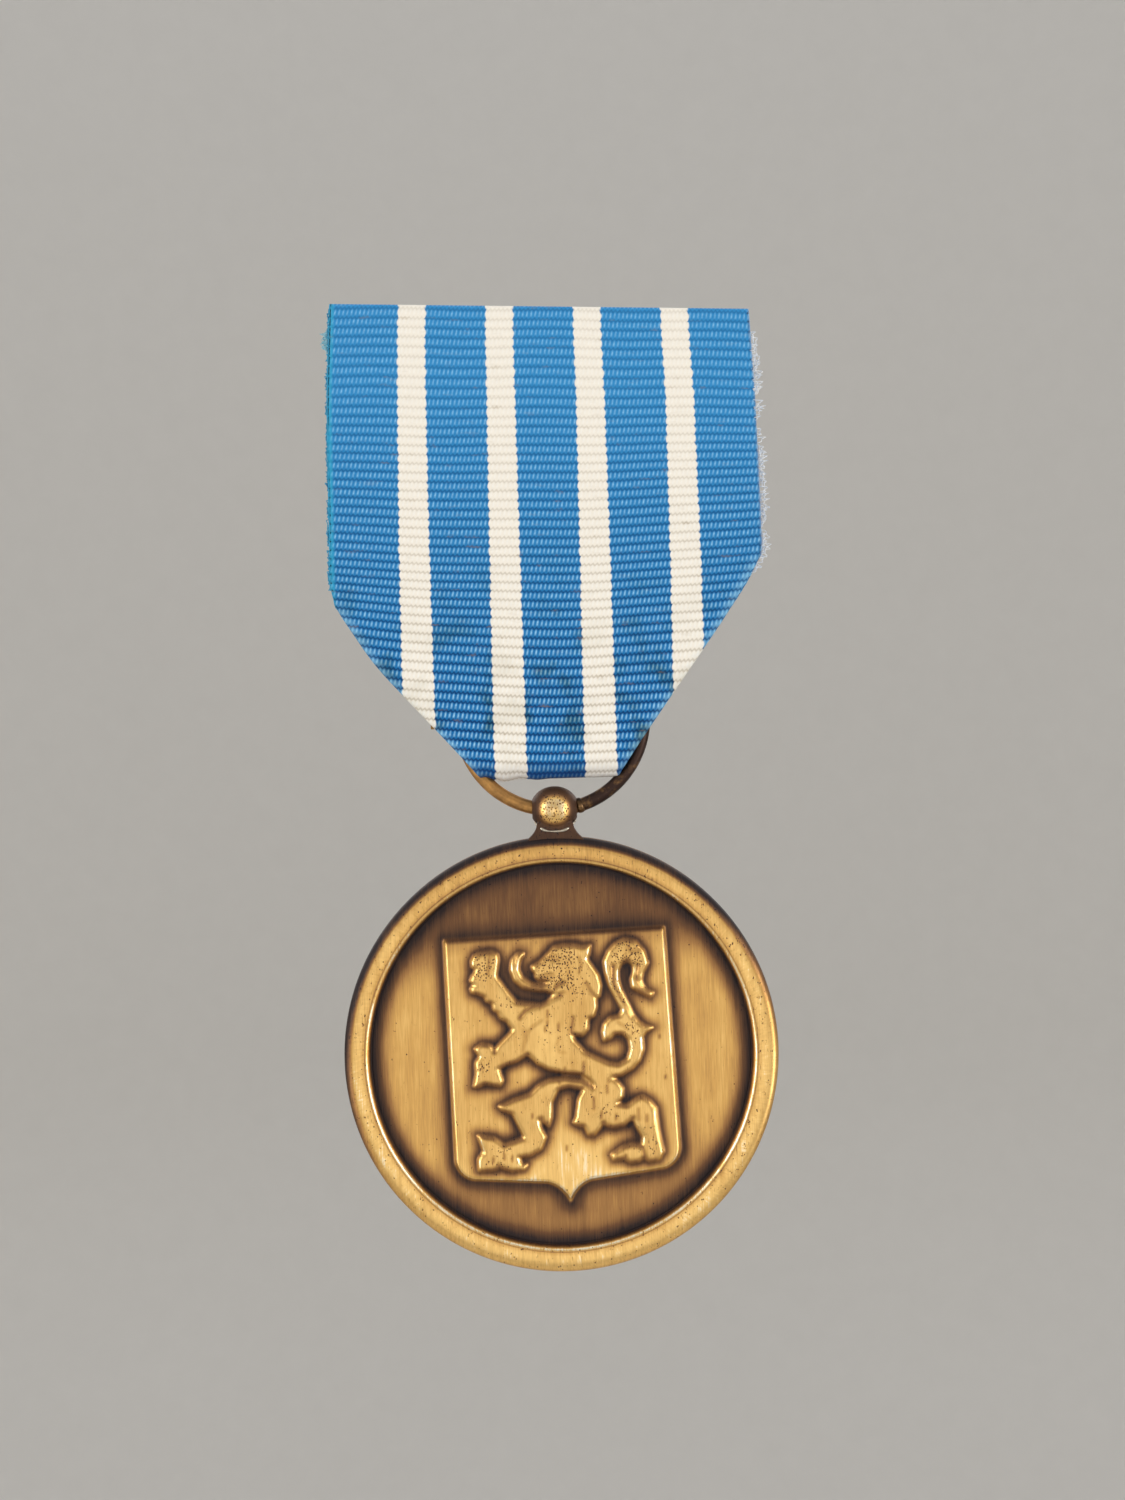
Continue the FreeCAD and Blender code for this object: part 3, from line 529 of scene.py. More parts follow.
# Where the casting is pitted: across, up, reach and strength.
PITTED = [
    (0.3, 7.6, 2.3, 1.0), (-6.7, 8.2, 1.5, 0.9), (6.3, 8.3, 1.6, 0.9), (5.3, 5.5, 1.4, 0.6),
    (-7.0, -0.8, 1.1, 0.5), (1.8, 5.6, 1.4, 0.5), (-4.4, 4.9, 1.3, 0.45), (7.0, -8.0, 1.6, 0.4),
    (-6.2, -8.7, 1.6, 0.4), (0.0, 2.0, 2.4, 0.32), (6.4, 1.6, 1.2, 0.4), (3.0, -4.6, 1.8, 0.3),
]


def relief_levels():
    """The lion's and the shield's outlines, and the levels of the lion, the shield and the field."""
    points, levels = facing_levels(frame["nodes"]["medal_disc"].data)
    lion_level, shield_level, field_level = sorted(levels)[1:4]
    lion_edges = outline_of(points, levels[lion_level])
    lion_corners = {corner for ends in lion_edges for corner in ends}
    shield_edges = [
        ends
        for ends in outline_of(points, levels[shield_level])
        if not (ends[0] in lion_corners and ends[1] in lion_corners)
    ]
    return lion_edges, shield_edges, (lion_level, shield_level, field_level)


def lion_marks(local_x, local_y):
    """How deep the lion's carved lines go, and where the brushed cuts are, at each place."""
    carved = np.zeros_like(local_x)
    for line, width, depth in CARVED_LINES:
        gap = distance_to_line(line, local_x, local_y)
        np.maximum(carved, depth * np.exp(-((gap / width) ** 2)), out=carved)
    cuts = np.zeros_like(local_x)
    for start_x, start_y, length in CUTS:
        gap = distance_to_line([(start_x, start_y), (start_x - 0.03, start_y - length)], local_x, local_y)
        np.maximum(cuts, np.exp(-((gap / CUT_WIDTH) ** 2)), out=cuts)
    return carved, cuts


def lion_height(lion, lion_rise, carved, cuts, local_x, local_y):
    """The lion above the shield: a steep rounded edge, an almost flat worn top, swells and carved lines."""
    edge = np.clip((lion + 0.06) / 0.42, 0, 1)
    body = lion_rise * 0.9 * np.sqrt(np.clip(1 - (1 - edge) ** 2, 0, 1))
    body += 0.05 * (1 - np.exp(-np.clip(lion, 0, None) / 0.7))
    inside = smooth_step(lion, 0.0, 0.35)
    for centre_x, centre_y, reach, height in SWELLS:
        gap = (local_x - centre_x) ** 2 + (local_y - centre_y) ** 2
        body += inside * height * np.exp(-gap / (reach * 0.75) ** 2)
    body -= carved * smooth_step(lion, -0.05, 0.1) + 0.05 * cuts * inside
    rng = np.random.default_rng(SEED)
    wear = blur(rng.standard_normal(lion.shape), 4)
    chisel = blur(rng.standard_normal(lion.shape), 1)
    return body + inside * (0.022 * wear / np.abs(wear).max() + 0.010 * chisel / np.abs(chisel).max())


def shield_grime_and_light(lion, shield, carved, cuts, local_x, local_y):
    """Tone on the shield and the lion: patina with painted shade round the lion and between its limbs, grime
    in its lines, and painted light on its bevels and on the shield.
    """
    outside = np.clip(-lion, 0, None)
    crowd = blur((lion > 0).astype(float), 15)
    # Painted shade: a thin dark line at the lion's foot and a soft dark halo round it, with patina in the
    # enclosed hollows.
    contact = 0.55 * np.exp(-((outside / 0.20) ** 2))
    near_lion = 0.42 * np.exp(-((outside / 0.60) ** 2))
    hollow = 0.66 * smooth_step(crowd, 0.10, 0.58)
    on_shield = 1 - (1 - near_lion) * (1 - hollow) * (1 - contact)
    # Painted highlight low in the middle of the shield, and painted shade towards its top.
    on_shield += 0.08 + 0.12 * smooth_step(local_y + 0.25 * np.abs(local_x), -9.0, -4.0)
    on_shield += 0.20 * (1 - np.clip((10.7 - local_y) / 1.6, 0, 1))
    # Painted light on the lion's bevels: shade where they face up or down, highlight where they face the
    # sides.
    slope_y, slope_x = np.gradient(blur(lion, 2))
    upright = np.abs(slope_y) / (np.hypot(slope_x, slope_y) + 1e-6)
    bevel = smooth_step(lion, -0.12, 0.02) * (1 - smooth_step(lion, 0.16, 0.42))
    on_lion = 0.17 + 0.5 * np.clip(carved / 0.16, 0, 1) + 0.6 * cuts
    on_lion = on_lion * (1 - bevel) + bevel * 0.62 * upright**2
    lion_edge = smooth_step(lion, -0.14, -0.02)
    on_shield = on_shield * (1 - lion_edge) + on_lion * lion_edge
    on_shield += 0.7 * cuts * (1 - lion_edge)
    # Painted light on the shield's edge: shade where it faces up, highlight elsewhere.
    shield_slope_y, shield_slope_x = np.gradient(blur(shield, 2))
    facing_up = np.clip(-shield_slope_y / (np.hypot(shield_slope_x, shield_slope_y) + 1e-6), 0, 1)
    brink = smooth_step(shield, -0.12, 0.0) * (1 - smooth_step(shield, 0.12, 0.30))
    return on_shield * (1 - brink) + brink * 0.85 * facing_up**4


def field_grime_and_shade(shield, local_x, local_y, far):
    """Tone on the field: patina with painted shade round the shield and along the rim, and painted shade at
    the top and the bottom.
    """
    beyond = np.clip(-shield, 0, None)
    # Painted shade with patina round the shield, narrower towards the sides.
    side_open = smooth_step(np.abs(local_x), 7.0, 11.0)
    round_shield = 0.92 * np.exp(-((np.clip(beyond - 0.1, 0, None) / (1 - 0.25 * side_open)) ** 2))
    # Painted shade: darker towards the top and the bottom of the field.
    top_shade = 0.56 * smooth_step(local_y, 6.5, 12.0)
    low_shade = 0.28 * smooth_step(-local_y, 7.5, 13.5)
    by_rim = np.exp(-((np.clip(FIELD_RADIUS - far, 0, None) / 1.0) ** 2))
    covered = 1 - (1 - round_shield) * (1 - top_shade) * (1 - low_shade) * (1 - by_rim)
    return 0.24 + 0.76 * covered


def relief_picture():
    """Height, grime with painted shade and painted highlights, and pitting on an even grid about the disc's
    centre, and the level of the field.
    """
    lion_edges, shield_edges, (lion_level, shield_level, field_level) = relief_levels()
    steps = np.arange(-RELIEF_REACH, RELIEF_REACH + RELIEF_PITCH / 2, RELIEF_PITCH)
    across, up = np.meshgrid(steps, steps)
    lion = blur(distance_inside(lion_edges, across, up), 1)
    shield = distance_inside(shield_edges, across, up)
    turn = math.radians(RELIEF_TURN)
    local_x = across * math.cos(turn) + up * math.sin(turn)
    local_y = up * math.cos(turn) - across * math.sin(turn)
    carved, cuts = lion_marks(local_x, local_y)
    body = lion_height(lion, shield_level - lion_level, carved, cuts, local_x, local_y)
    plateau = (field_level - shield_level) * smooth_step(shield, -0.10, 0.16)
    height = plateau + np.where(shield > -0.2, body, 0.0)
    on_shield = shield_grime_and_light(lion, shield, carved, cuts, local_x, local_y)
    on_field = field_grime_and_shade(shield, local_x, local_y, np.hypot(across, up))
    shield_share = smooth_step(shield, -0.16, -0.06)
    grime_and_light = on_shield * shield_share + on_field * (1 - shield_share)
    pitted = np.full(across.shape, 0.10)
    for centre_x, centre_y, reach, strength in PITTED:
        gap = (local_x - centre_x) ** 2 + (local_y - centre_y) ** 2
        np.maximum(pitted, strength * np.exp(-((gap / reach**2) ** 2)), out=pitted)
    pitted = np.where(lion > 0.1, pitted, np.where(shield > 0, 0.06, 0.0))
    return {"height": blur(height, 1), "grime_and_light": blur(grime_and_light, 1), "pits": blur(pitted, 1)}, field_level


def sample(picture, across, up):
    """Reads a relief picture at points in millimetres from the disc's centre."""
    column = np.clip((across + RELIEF_REACH) / RELIEF_PITCH, 0, picture.shape[1] - 1.001)
    row = np.clip((up + RELIEF_REACH) / RELIEF_PITCH, 0, picture.shape[0] - 1.001)
    left, low = column.astype(int), row.astype(int)
    right_share, high_share = column - left, row - low
    first = picture[low, left] * (1 - right_share) + picture[low, left + 1] * right_share
    second = picture[low + 1, left] * (1 - right_share) + picture[low + 1, left + 1] * right_share
    return first * (1 - high_share) + second * high_share


FIELD_RADIUS = 16.85
DISC_CELLS = 250

# The rim from the field outwards and round to the back: radius, height above the front field, and grime with
# painted light, where the low values on the inner bevel are a painted highlight and the high values on the
# outer edge are painted shade.
RIM_ROWS = [
    (16.89, 0.02, 1.0), (16.95, 0.14, 0.95), (17.02, 0.42, 0.55), (17.1, 0.66, 0.1), (17.2, 0.79, 0.0),
    (17.32, 0.855, 0.04), (17.42, 0.86, 0.45), (17.52, 0.875, 0.22), (17.8, 0.895, 0.12), (18.2, 0.9, 0.1),
    (18.5, 0.89, 0.12), (18.72, 0.855, 0.2), (18.9, 0.79, 0.32), (19.06, 0.68, 0.45), (19.18, 0.54, 0.6),
    (19.26, 0.36, 0.75), (19.3, 0.1, 0.8), (19.3, -0.5, 0.7), (19.3, -1.2, 0.66), (19.3, -1.75, 0.66),
    (19.26, -1.98, 0.6), (19.15, -2.13, 0.4), (18.95, -2.19, 0.2), (18.5, -2.2, 0.1), (17.5, -2.2, 0.12),
    (17.24, -2.185, 0.15), (17.1, -2.1, 0.4), (17.0, -1.92, 0.8), (16.88, -1.82, 1.0), (16.6, -1.8, 0.9),
    (15.90, -1.79, 0.5), (14.6, -1.785, 0.32), (12.4, -1.78, 0.22), (9.0, -1.78, 0.18), (5.0, -1.78, 0.2),
    (1.6, -1.78, 0.22),
]


def disc_grid():
    """An even grid laid over a disc: four-sided cells whose outer edge is the circle."""
    steps = np.linspace(-1, 1, DISC_CELLS + 1)
    first, second = np.meshgrid(steps, steps)
    wide = np.abs(first) > np.abs(second)
    with np.errstate(divide="ignore", invalid="ignore"):
        turn_wide = math.pi / 4 * np.nan_to_num(second / first)
        turn_tall = math.pi / 2 - math.pi / 4 * np.nan_to_num(first / second)
    radius = np.where(wide, first, second) * FIELD_RADIUS
    turn = np.where(wide, turn_wide, turn_tall)
    return (radius * np.cos(turn)).ravel(), (radius * np.sin(turn)).ravel()


def make_medal():
    """The disc as one closed mesh: the fine relief grid in front, then the rim, the edge and the back."""
    pictures, field_level = relief_picture()
    across, up = disc_grid()
    far = np.hypot(across, up)
    height = sample(pictures["height"], across, up)
    height += 0.06 * smooth_step(far, FIELD_RADIUS - 0.6, FIELD_RADIUS)
    side = DISC_CELLS + 1
    index = np.arange(side * side).reshape(side, side)
    border = np.concatenate([index[0, :-1], index[:-1, -1], index[-1, :0:-1], index[:0:-1, 0]])
    count = len(border)
    direction_x = across[border] / far[border]
    direction_y = up[border] / far[border]
    points = [np.stack([across, -height, up], axis=1)]
    grime_and_light_rows = [sample(pictures["grime_and_light"], across, up)]
    pits = [sample(pictures["pits"], across, up)]
    rng = np.random.default_rng(SEED + 1)
    # Painted shade on the rim's shoulder, dark at the top and left and lighter at the bottom right, and
    # painted shade across the rim's top.
    top_left = smooth_step(direction_y - 0.35 * direction_x, -0.55, 0.75)
    for radius, level, dirt_and_light in RIM_ROWS:
        points.append(np.stack([direction_x * radius, np.full(count, -level), direction_y * radius], axis=1))
        shoulder = smooth_step(radius, 18.45, 18.85) * (level > 0)
        shade = dirt_and_light * (1 - 0.55 * shoulder * (1 - top_left)) + 0.68 * shoulder * top_left
        shade = shade + 0.10 * smooth_step(direction_y, 0.3, 0.95) * (level > 0.5)
        grime_and_light_rows.append(np.clip(shade + 0.02 * rng.standard_normal(count), 0, 1))
        pits.append(np.full(count, 0.22 if 17.2 < radius < 18.8 and level > 0 else 0.10))
    points = np.concatenate(points) * MM
    points += (DISC_CENTRE.x, field_level * MM, DISC_CENTRE.z)
    faces = grid_faces(side, side).tolist()
    previous = border
    following = side * side
    for _ in RIM_ROWS:
        ring = following + np.arange(count)
        faces.extend(np.stack([previous, ring, np.roll(ring, -1), np.roll(previous, -1)], axis=1).tolist())
        previous = ring
        following += count
    faces.append(previous[::-1].tolist())
    piece = new_mesh_object("medal_relief", points, faces)
    normal_fix(piece)
    set_attribute(piece, "grime_and_light", np.concatenate(grime_and_light_rows))
    set_attribute(piece, "pits", np.concatenate(pits))
    stand_for(piece, "medal_disc", bronze_material("struck_bronze"), "medal")


def normal_fix(piece):
    """Turns every face of a closed mesh outwards."""
    work = bmesh.new()
    work.from_mesh(piece.data)
    bmesh.ops.recalc_face_normals(work, faces=work.faces)
    work.to_mesh(piece.data)
    work.free()
    piece.data.update()


# ---------------------------------------------------------------- ball, solder and ring

BALL_RADIUS = 2.0 * MM
BALL_STRETCH = 1.10
BORE_RADIUS = 0.84 * MM
BORE_REACH = 2.8 * MM
WIRE_RADIUS = 0.6 * MM


def lathe(profile, steps):
    """Points and faces of a shape turned about Z from (radius, height) pairs, closed at both ends."""
    points = []
    for radius, height in profile:
        for step in range(steps):
            turn = 2 * math.pi * step / steps
            points.append((radius * math.cos(turn), radius * math.sin(turn), height))
    return points, turned_faces(len(profile), steps)


def cut_away(piece, cutter):
    """Takes the cutter's shape out of a piece and removes the cutter."""
    modifier = piece.modifiers.new("cut", "BOOLEAN")
    modifier.operation = "DIFFERENCE"
    modifier.object = cutter
    modifier.solver = "EXACT"
    apply_modifiers(piece)
    bpy.data.objects.remove(cutter)


def make_ball():
    """The pierced ball run into its flared foot by a soft neck, with a worn front."""
    ball_profile = []
    for step in range(1, 32):
        turn = math.pi * step / 32
        ball_profile.append((BALL_RADIUS * math.sin(turn), -BALL_RADIUS * math.cos(turn)))
    ball_points, ball_faces = lathe(ball_profile, 64)
    half_deep = 1.2 * MM
    outline = []
    top, low = -1.25 * MM, -2.85 * MM
    for step in range(13):
        share = step / 12
        half = (1.62 + 1.05 * share**2.0) * MM
        outline.append((half, top + (low - top) * share))
    corners = outline + [(-x, z) for x, z in reversed(outline)]
    count = len(corners)
    foot_points = [(x, -half_deep, z) for x, z in corners] + [(x, half_deep, z) for x, z in corners]
    foot_faces = [list(range(count)), list(range(count, 2 * count))[::-1]]
    for index in range(count):
        beside = (index + 1) % count
        foot_faces.append([index, index + count, beside + count, beside])
    wide_ball = [(x * BALL_STRETCH, y, z) for x, y, z in ball_points]
    piece = join_shapes("pierced_ball", [(wide_ball, ball_faces), (foot_points, foot_faces)])
    normal_fix(piece)
    remesh = piece.modifiers.new("remesh", "REMESH")
    remesh.mode = "VOXEL"
    remesh.voxel_size = 0.085 * MM
    soften = piece.modifiers.new("soften", "SMOOTH")
    soften.iterations = 6
    soften.factor = 0.5
    apply_modifiers(piece)
    bore = new_mesh_object("bore", *lathe([(BORE_RADIUS, -BORE_REACH), (BORE_RADIUS, BORE_REACH)], 40))
    bore.data.transform(Matrix.Rotation(math.pi / 2, 4, "Y"))
    cut_away(piece, bore)
    piece.data.transform(Matrix.Translation(BALL_CENTRE))
    place = np.array([vertex.co for vertex in piece.data.vertices]) - np.array(BALL_CENTRE)
    place /= MM
    off_centre = np.hypot(place[:, 0] / 1.25, (place[:, 2] + 0.05) / 1.05)
    worn_front = (1 - smooth_step(off_centre, 0.85, 1.45)) * np.where(place[:, 1] < 0, 1, 0.55)
    beyond_ball = smooth_step(np.linalg.norm(place, axis=1), 2.02, 2.12)
    worn_front *= 1 - beyond_ball
    grime_and_light = 0.74 - 0.70 * worn_front + 0.12 * beyond_ball
    set_attribute(piece, "grime_and_light", grime_and_light)
    set_attribute(piece, "pits", 0.2 + 0.8 * worn_front)
    stand_for(piece, "suspension_ball", bronze_material("ball_bronze", brushed=0.4), "medal")


def make_solder():
    """A thin silvery line of solder that runs round the ball's seat and follows its lower half."""
    count = 96
    line, sizes = [], []
    for step in range(count):
        turn = 2 * math.pi * step / count
        rise = 0.86 * abs(math.cos(turn)) ** 3.0
        deep = math.copysign(abs(math.sin(turn)) ** 0.35, math.sin(turn))
        line.append((1.80 * MM * math.cos(turn), 1.24 * MM * deep, (-1.98 + rise) * MM))
        sizes.append((0.10 + 0.03 * math.sin(5 * turn + 1) + 0.02 * math.sin(11 * turn)) * MM)
    piece = join_shapes("solder_line", [tube(line, sizes, 8, closed=True)])
    piece.data.transform(Matrix.Translation(BALL_CENTRE))
    silvery = metal_material("solder", srgb(222, 214, 196), srgb(120, 100, 78), 0.34)
    stand_for(piece, "solder_seam", silvery, "medal")


RING_RADIUS = (RING_CENTRE.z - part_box("suspension_ring")[0].z) - WIRE_RADIUS


def ring_points(start, end, count):
    """Points along the ring's centreline. Angles are in degrees from the bottom, towards the right."""
    made = []
    for step in range(count):
        turn = math.radians(start + (end - start) * step / (count - 1))
        made.append(RING_CENTRE + RING_RADIUS * Vector((math.sin(turn), 0, -math.cos(turn))))
    return made


def make_ring():
    """The wire ring, open by its joint, and the bead of solder that closes it."""
    wire = join_shapes("wire_ring", [tube(ring_points(17.5, 374.5, 220), WIRE_RADIUS, 20)])
    brass = wire_material("ring_brass", srgb(214, 160, 92), srgb(66, 50, 44))
    stand_for(wire, "suspension_ring", brass, "ring")
    sizes = [0.60, 0.655, 0.69, 0.70, 0.70, 0.685, 0.65, 0.60]
    bead = join_shapes("ring_bead", [tube(ring_points(13.9, 18.1, 8), [size * MM for size in sizes], 20)])
    dark_solder = metal_material("bead_solder", srgb(128, 98, 66), srgb(44, 34, 30), 0.34)
    stand_for(bead, "ring_joint_bead", dark_solder, "ring")


# ---------------------------------------------------------------- ribbon

CLOTH = 0.34
RIB_PITCH = 0.83
RIB_HEIGHT = 0.085
THREAD_PITCH = 0.375
ROW_STEP = 0.125
INNER_COLUMNS = 44
FOLD_RADIUS = 0.19
SELVAGE = 0.30
CLOTH_HALF = (UPPER_HIGH.x - UPPER_LOW.x) / 2 / MM
HEAD_TOP = UPPER_HIGH.z / MM
FRONT_LINE = UPPER_LOW.y / MM + CLOTH / 2
HEM_LINE = UPPER_HIGH.y / MM - CLOTH / 2
INNER_LINE = (FRONT_LINE + HEM_LINE) / 2 + 0.02
TIP_BACK_LINE = TIP_HIGH.y / MM - CLOTH / 2
TIP_LINE = TIP_LOW.z / MM
HEM_END = -4.3
STRIPE_PITCH = 7.87
STRIPE_WIDE = 2.52
STRIPE_FIRST = -11.57
HEAD_LEAN = 0.040
RIB_LEAN = 0.028
RIB_SMILE = 0.0045


def spine_path():
    """The ribbon's (y, z) line: from the hem's end behind, over the head, down the front and up the back."""
    top_radius = (HEM_LINE - FRONT_LINE) / 2
    top_centre = HEAD_TOP - CLOTH / 2 - top_radius
    low_radius = (TIP_BACK_LINE - FRONT_LINE) / 2
    low_centre = TIP_LINE + CLOTH / 2 + low_radius
    slant_low = FLEX.z / MM - 3.4
    slant_high = FLEX.z / MM + 0.6
    path = [(HEM_LINE, HEM_END), (HEM_LINE, top_centre)]
    for step in range(1, 13):
        turn = math.pi * step / 12
        middle = (HEM_LINE + FRONT_LINE) / 2
        path.append((middle + top_radius * math.cos(turn), top_centre + top_radius * math.sin(turn)))
    path.append((FRONT_LINE, low_centre))
    for step in range(1, 25):
        turn = math.pi * step / 24
        middle = (TIP_BACK_LINE + FRONT_LINE) / 2
        path.append((middle - low_radius * math.cos(turn), low_centre - low_radius * math.sin(turn)))
    for step in range(25):
        share = step / 24
        back = TIP_BACK_LINE + (INNER_LINE - TIP_BACK_LINE) * smooth_step(share, 0, 1)
        path.append((back, slant_low + (slant_high - slant_low) * share))
    path.append((INNER_LINE, top_centre - 1.1))
    path = np.array(path)
    lengths = np.concatenate([[0], np.cumsum(np.linalg.norm(np.diff(path, axis=0), axis=1))])
    keep = np.concatenate([[True], np.diff(lengths) > 1e-6])
    return path[keep], lengths[keep]


# How far along the strip, from the hem's end, the cloth starts to turn under at the point.
FOLD_START = (HEAD_TOP - HEM_END) + (HEAD_TOP - TIP_LINE) - 1.7


# The folded edges: millimetres below the head's top, and from the centre line.
LEFT_EDGE = [(-1, 18.6), (8, 19.1), (25.2, 19.35), (31.4, 15.4), (38.5, 9), (42.4, 5.6), (46, 5.3)]
RIGHT_EDGE = [(-1, 18.4), (8, 18.75), (22.4, 18.95), (28, 15.4), (38.5, 7.8), (42, 5.4), (46, 5.3)]


def edge_of(side, height):
    """How far the folded ribbon's edge is from its centre line at a height. side is -1 at the left."""
    below = HEAD_TOP - height
    places, halves = zip(*(LEFT_EDGE if side < 0 else RIGHT_EDGE))
    spread = 1.5 if side < 0 else 0.9
    total = 0.0
    for offset, weight in ((-1.0, 0.15), (-0.5, 0.22), (0.0, 0.26), (0.5, 0.22), (1.0, 0.15)):
        total = total + weight * np.interp(below + offset * spread, places, halves)
    return total


def natural_half(height):
    """Half the ribbon's flat width at a height: it is drawn in a little at the head."""
    return np.interp(HEAD_TOP - height, [-1.0, 8.0, 22.0], [18.6, 19.1, CLOTH_HALF + 0.3])


def cloth_waves(across, height):
    """Slow unevenness of the cloth, in millimetres."""
    return (
        0.10 * np.sin(across * 0.21 + height * 0.13 + 0.6)
        + 0.07 * np.sin(across * 0.46 - height * 0.31 + 2.0)
        + 0.05 * np.sin(across * 0.9 + height * 0.52 + 4.0)
    )


def make_ribbon():
    """One strip of ribbed cloth, turned over at the head, its lower corners folded behind, round the ring."""
    path, lengths = spine_path()
    total = lengths[-1]
    rows = int(total / ROW_STEP)
    along = np.linspace(0, total, rows)
    row_z = np.interp(along, lengths, path[:, 1])
    flap_steps = np.array([0.0, 0.12, 0.24, 0.36, 0.48, 0.62, 1.1, 2.0, 3.2])
    edges = {side: edge_of(side, row_z) for side in (-1, 1)}
    natural = natural_half(row_z)
    slopes = {side: np.gradient(edges[side], along) for side in (-1, 1)}
    folded = {side: smooth_step(natural - edges[side], 0.15, 1.2) for side in (-1, 1)}
    grids = {"x": [], "s": [], "depth": [], "u": [], "v": [], "edge": []}

    def add_column(x, s, depth, u, v, edge):
        for name, values in (("x", x), ("s", s), ("depth", depth), ("u", u), ("v", v), ("edge", edge)):
            grids[name].append(np.broadcast_to(values, along.shape).astype(float))

    def add_flap(side, steps):
        edge, slope, fold = edges[side], slopes[side], folded[side]
        inset = edge - SELVAGE * (1 - fold)
        length = np.hypot(1.0, slope)
        out_x, out_s = 1.0 / length, -slope / length
        reach = SELVAGE * (1 - fold) + fold * np.clip(0.8 + (natural - edge) * 0.5, 0.8, 3.2)
        for step in steps:
            q = step / flap_steps[-1] * reach if step > 0.62 else step * np.minimum(1.0, reach / 0.8)
            q = np.minimum(q, reach)
            turn = np.clip(q / FOLD_RADIUS, 0, math.pi)
            wrapped = FOLD_RADIUS * np.sin(turn) - np.clip(q - math.pi * FOLD_RADIUS, 0, None)
            depth = FOLD_RADIUS * (1 - np.cos(turn)) * fold
            forward = q * (1 - fold) + wrapped * fold
            x = side * (inset + out_x * forward)
            s = along + out_s * forward
            u = side * (inset * CLOTH_HALF / natural + out_x * q)
            add_column(x, s, depth, u, along + out_s * q, fold * np.exp(-((q / 0.35) ** 2)))

    add_flap(-1, flap_steps[:0:-1])
    for share in np.linspace(-1, 1, INNER_COLUMNS + 1):
        side = -1 if share < 0 else 1
        inset = edges[side] - SELVAGE * (1 - folded[side])
        x = share * inset
        near_edge = folded[side] * np.exp(-(((1 - abs(share)) * inset / 0.30) ** 2))
        add_column(x, along, 0.0, x * CLOTH_HALF / natural, along, near_edge)
    add_flap(1, flap_steps[1:])
    grid = {name: np.stack(values, axis=1) for name, values in grids.items()}
    across, s = grid["x"], grid["s"]
    y, z = [np.interp(s, lengths, values) for values in path.T]
    nudge = 0.05
    ahead_y, ahead_z = [np.interp(s + nudge, lengths, values) for values in path.T]
    behind_y, behind_z = [np.interp(s - nudge, lengths, values) for values in path.T]
    run = np.hypot(ahead_y - behind_y, ahead_z - behind_z) + 1e-9
    normal_y, normal_z = (ahead_z - behind_z) / run, -(ahead_y - behind_y) / run

    # The normal points out of the ribbon's loop: forward on the front layer, back on the back layer.
    waves = cloth_waves(grid["u"], z) * smooth_step(np.abs(z - HEAD_TOP), 0.5, 5.0)
    waves *= 1 - 0.85 * smooth_step(-z, 33.0, 37.0)
    fold_pull = smooth_step(-z, 33.5, 37.2)
    pucker = 0.16 * np.sin(grid["u"] * 2.1 + z * 0.9) * fold_pull * smooth_step(-grid["u"], -1.0, 4.0)
    on_front = (normal_y < 0).astype(float)
    shift = waves * on_front + pucker * on_front
    ribs = rib_place(grid["u"], grid["v"])
    rib = RIB_HEIGHT * (np.abs(np.cos(math.pi * ribs)) ** 0.8 - 0.45)
    rib *= 1 - 0.35 * fold_pull
    z = z - HEAD_LEAN * across * smooth_step(z, -19.0, 4.0)
    faces, points, uvs = [], [], []
    rows_count, column_count = across.shape
    for face_of_cloth in (1, -1):
        offset = face_of_cloth * (CLOTH / 2 + rib) - grid["depth"] + shift
        points.append(
            np.stack([across, y + normal_y * offset, z + normal_z * offset], axis=2).reshape(-1, 3)
        )
        uvs.append(np.stack([grid["u"], grid["v"]], axis=2).reshape(-1, 2))
    size = rows_count * column_count
    faces.extend(grid_faces(rows_count, column_count, 0).tolist())
    faces.extend(grid_faces(rows_count, column_count, size, flip=True).tolist())
    index = np.arange(size).reshape(rows_count, column_count)
    border = np.concatenate([index[0, :-1], index[:-1, -1], index[-1, :0:-1], index[:0:-1, 0]])
    beside = np.roll(border, -1)
    faces.extend(np.stack([beside, border, border + size, beside + size], axis=1).tolist())
    points = np.concatenate(points) * MM
    uvs = np.concatenate(uvs)
    piece = new_mesh_object("ribbon_cloth", points, faces)
    layer = piece.data.uv_layers.new(name="cloth")
    corners = np.empty(len(piece.data.loops), np.int32)
    piece.data.loops.foreach_get("vertex_index", corners)
    layer.data.foreach_set("uv", uvs[corners].astype(np.float32).ravel())
    normal_fix(piece)
    set_attribute(piece, "rib_place", np.tile(ribs.ravel(), 2))
    set_attribute(piece, "fold_edge", np.tile(grid["edge"].ravel(), 2))
    paint(piece, ribbon_material())
    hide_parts("ribbon_upper", "ribbon_tip")
    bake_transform(piece)
    return piece, total


def rib_place(across, along):
    """Which rib a place on the cloth is on, whole at the crests. Near the point the ribs bow down."""
    low_down = smooth_step(along, 14.0, 46.0)
    bow = -RIB_LEAN * across * low_down + RIB_SMILE * across**2 * low_down
    bow = bow + 0.05 * np.sin(across * 0.45 + along * 0.11)
    drift = 0.16 * np.sin(along * 0.21) + 0.07 * np.sin(along * 0.53 + 1.0)
    return (along + bow + drift) / RIB_PITCH


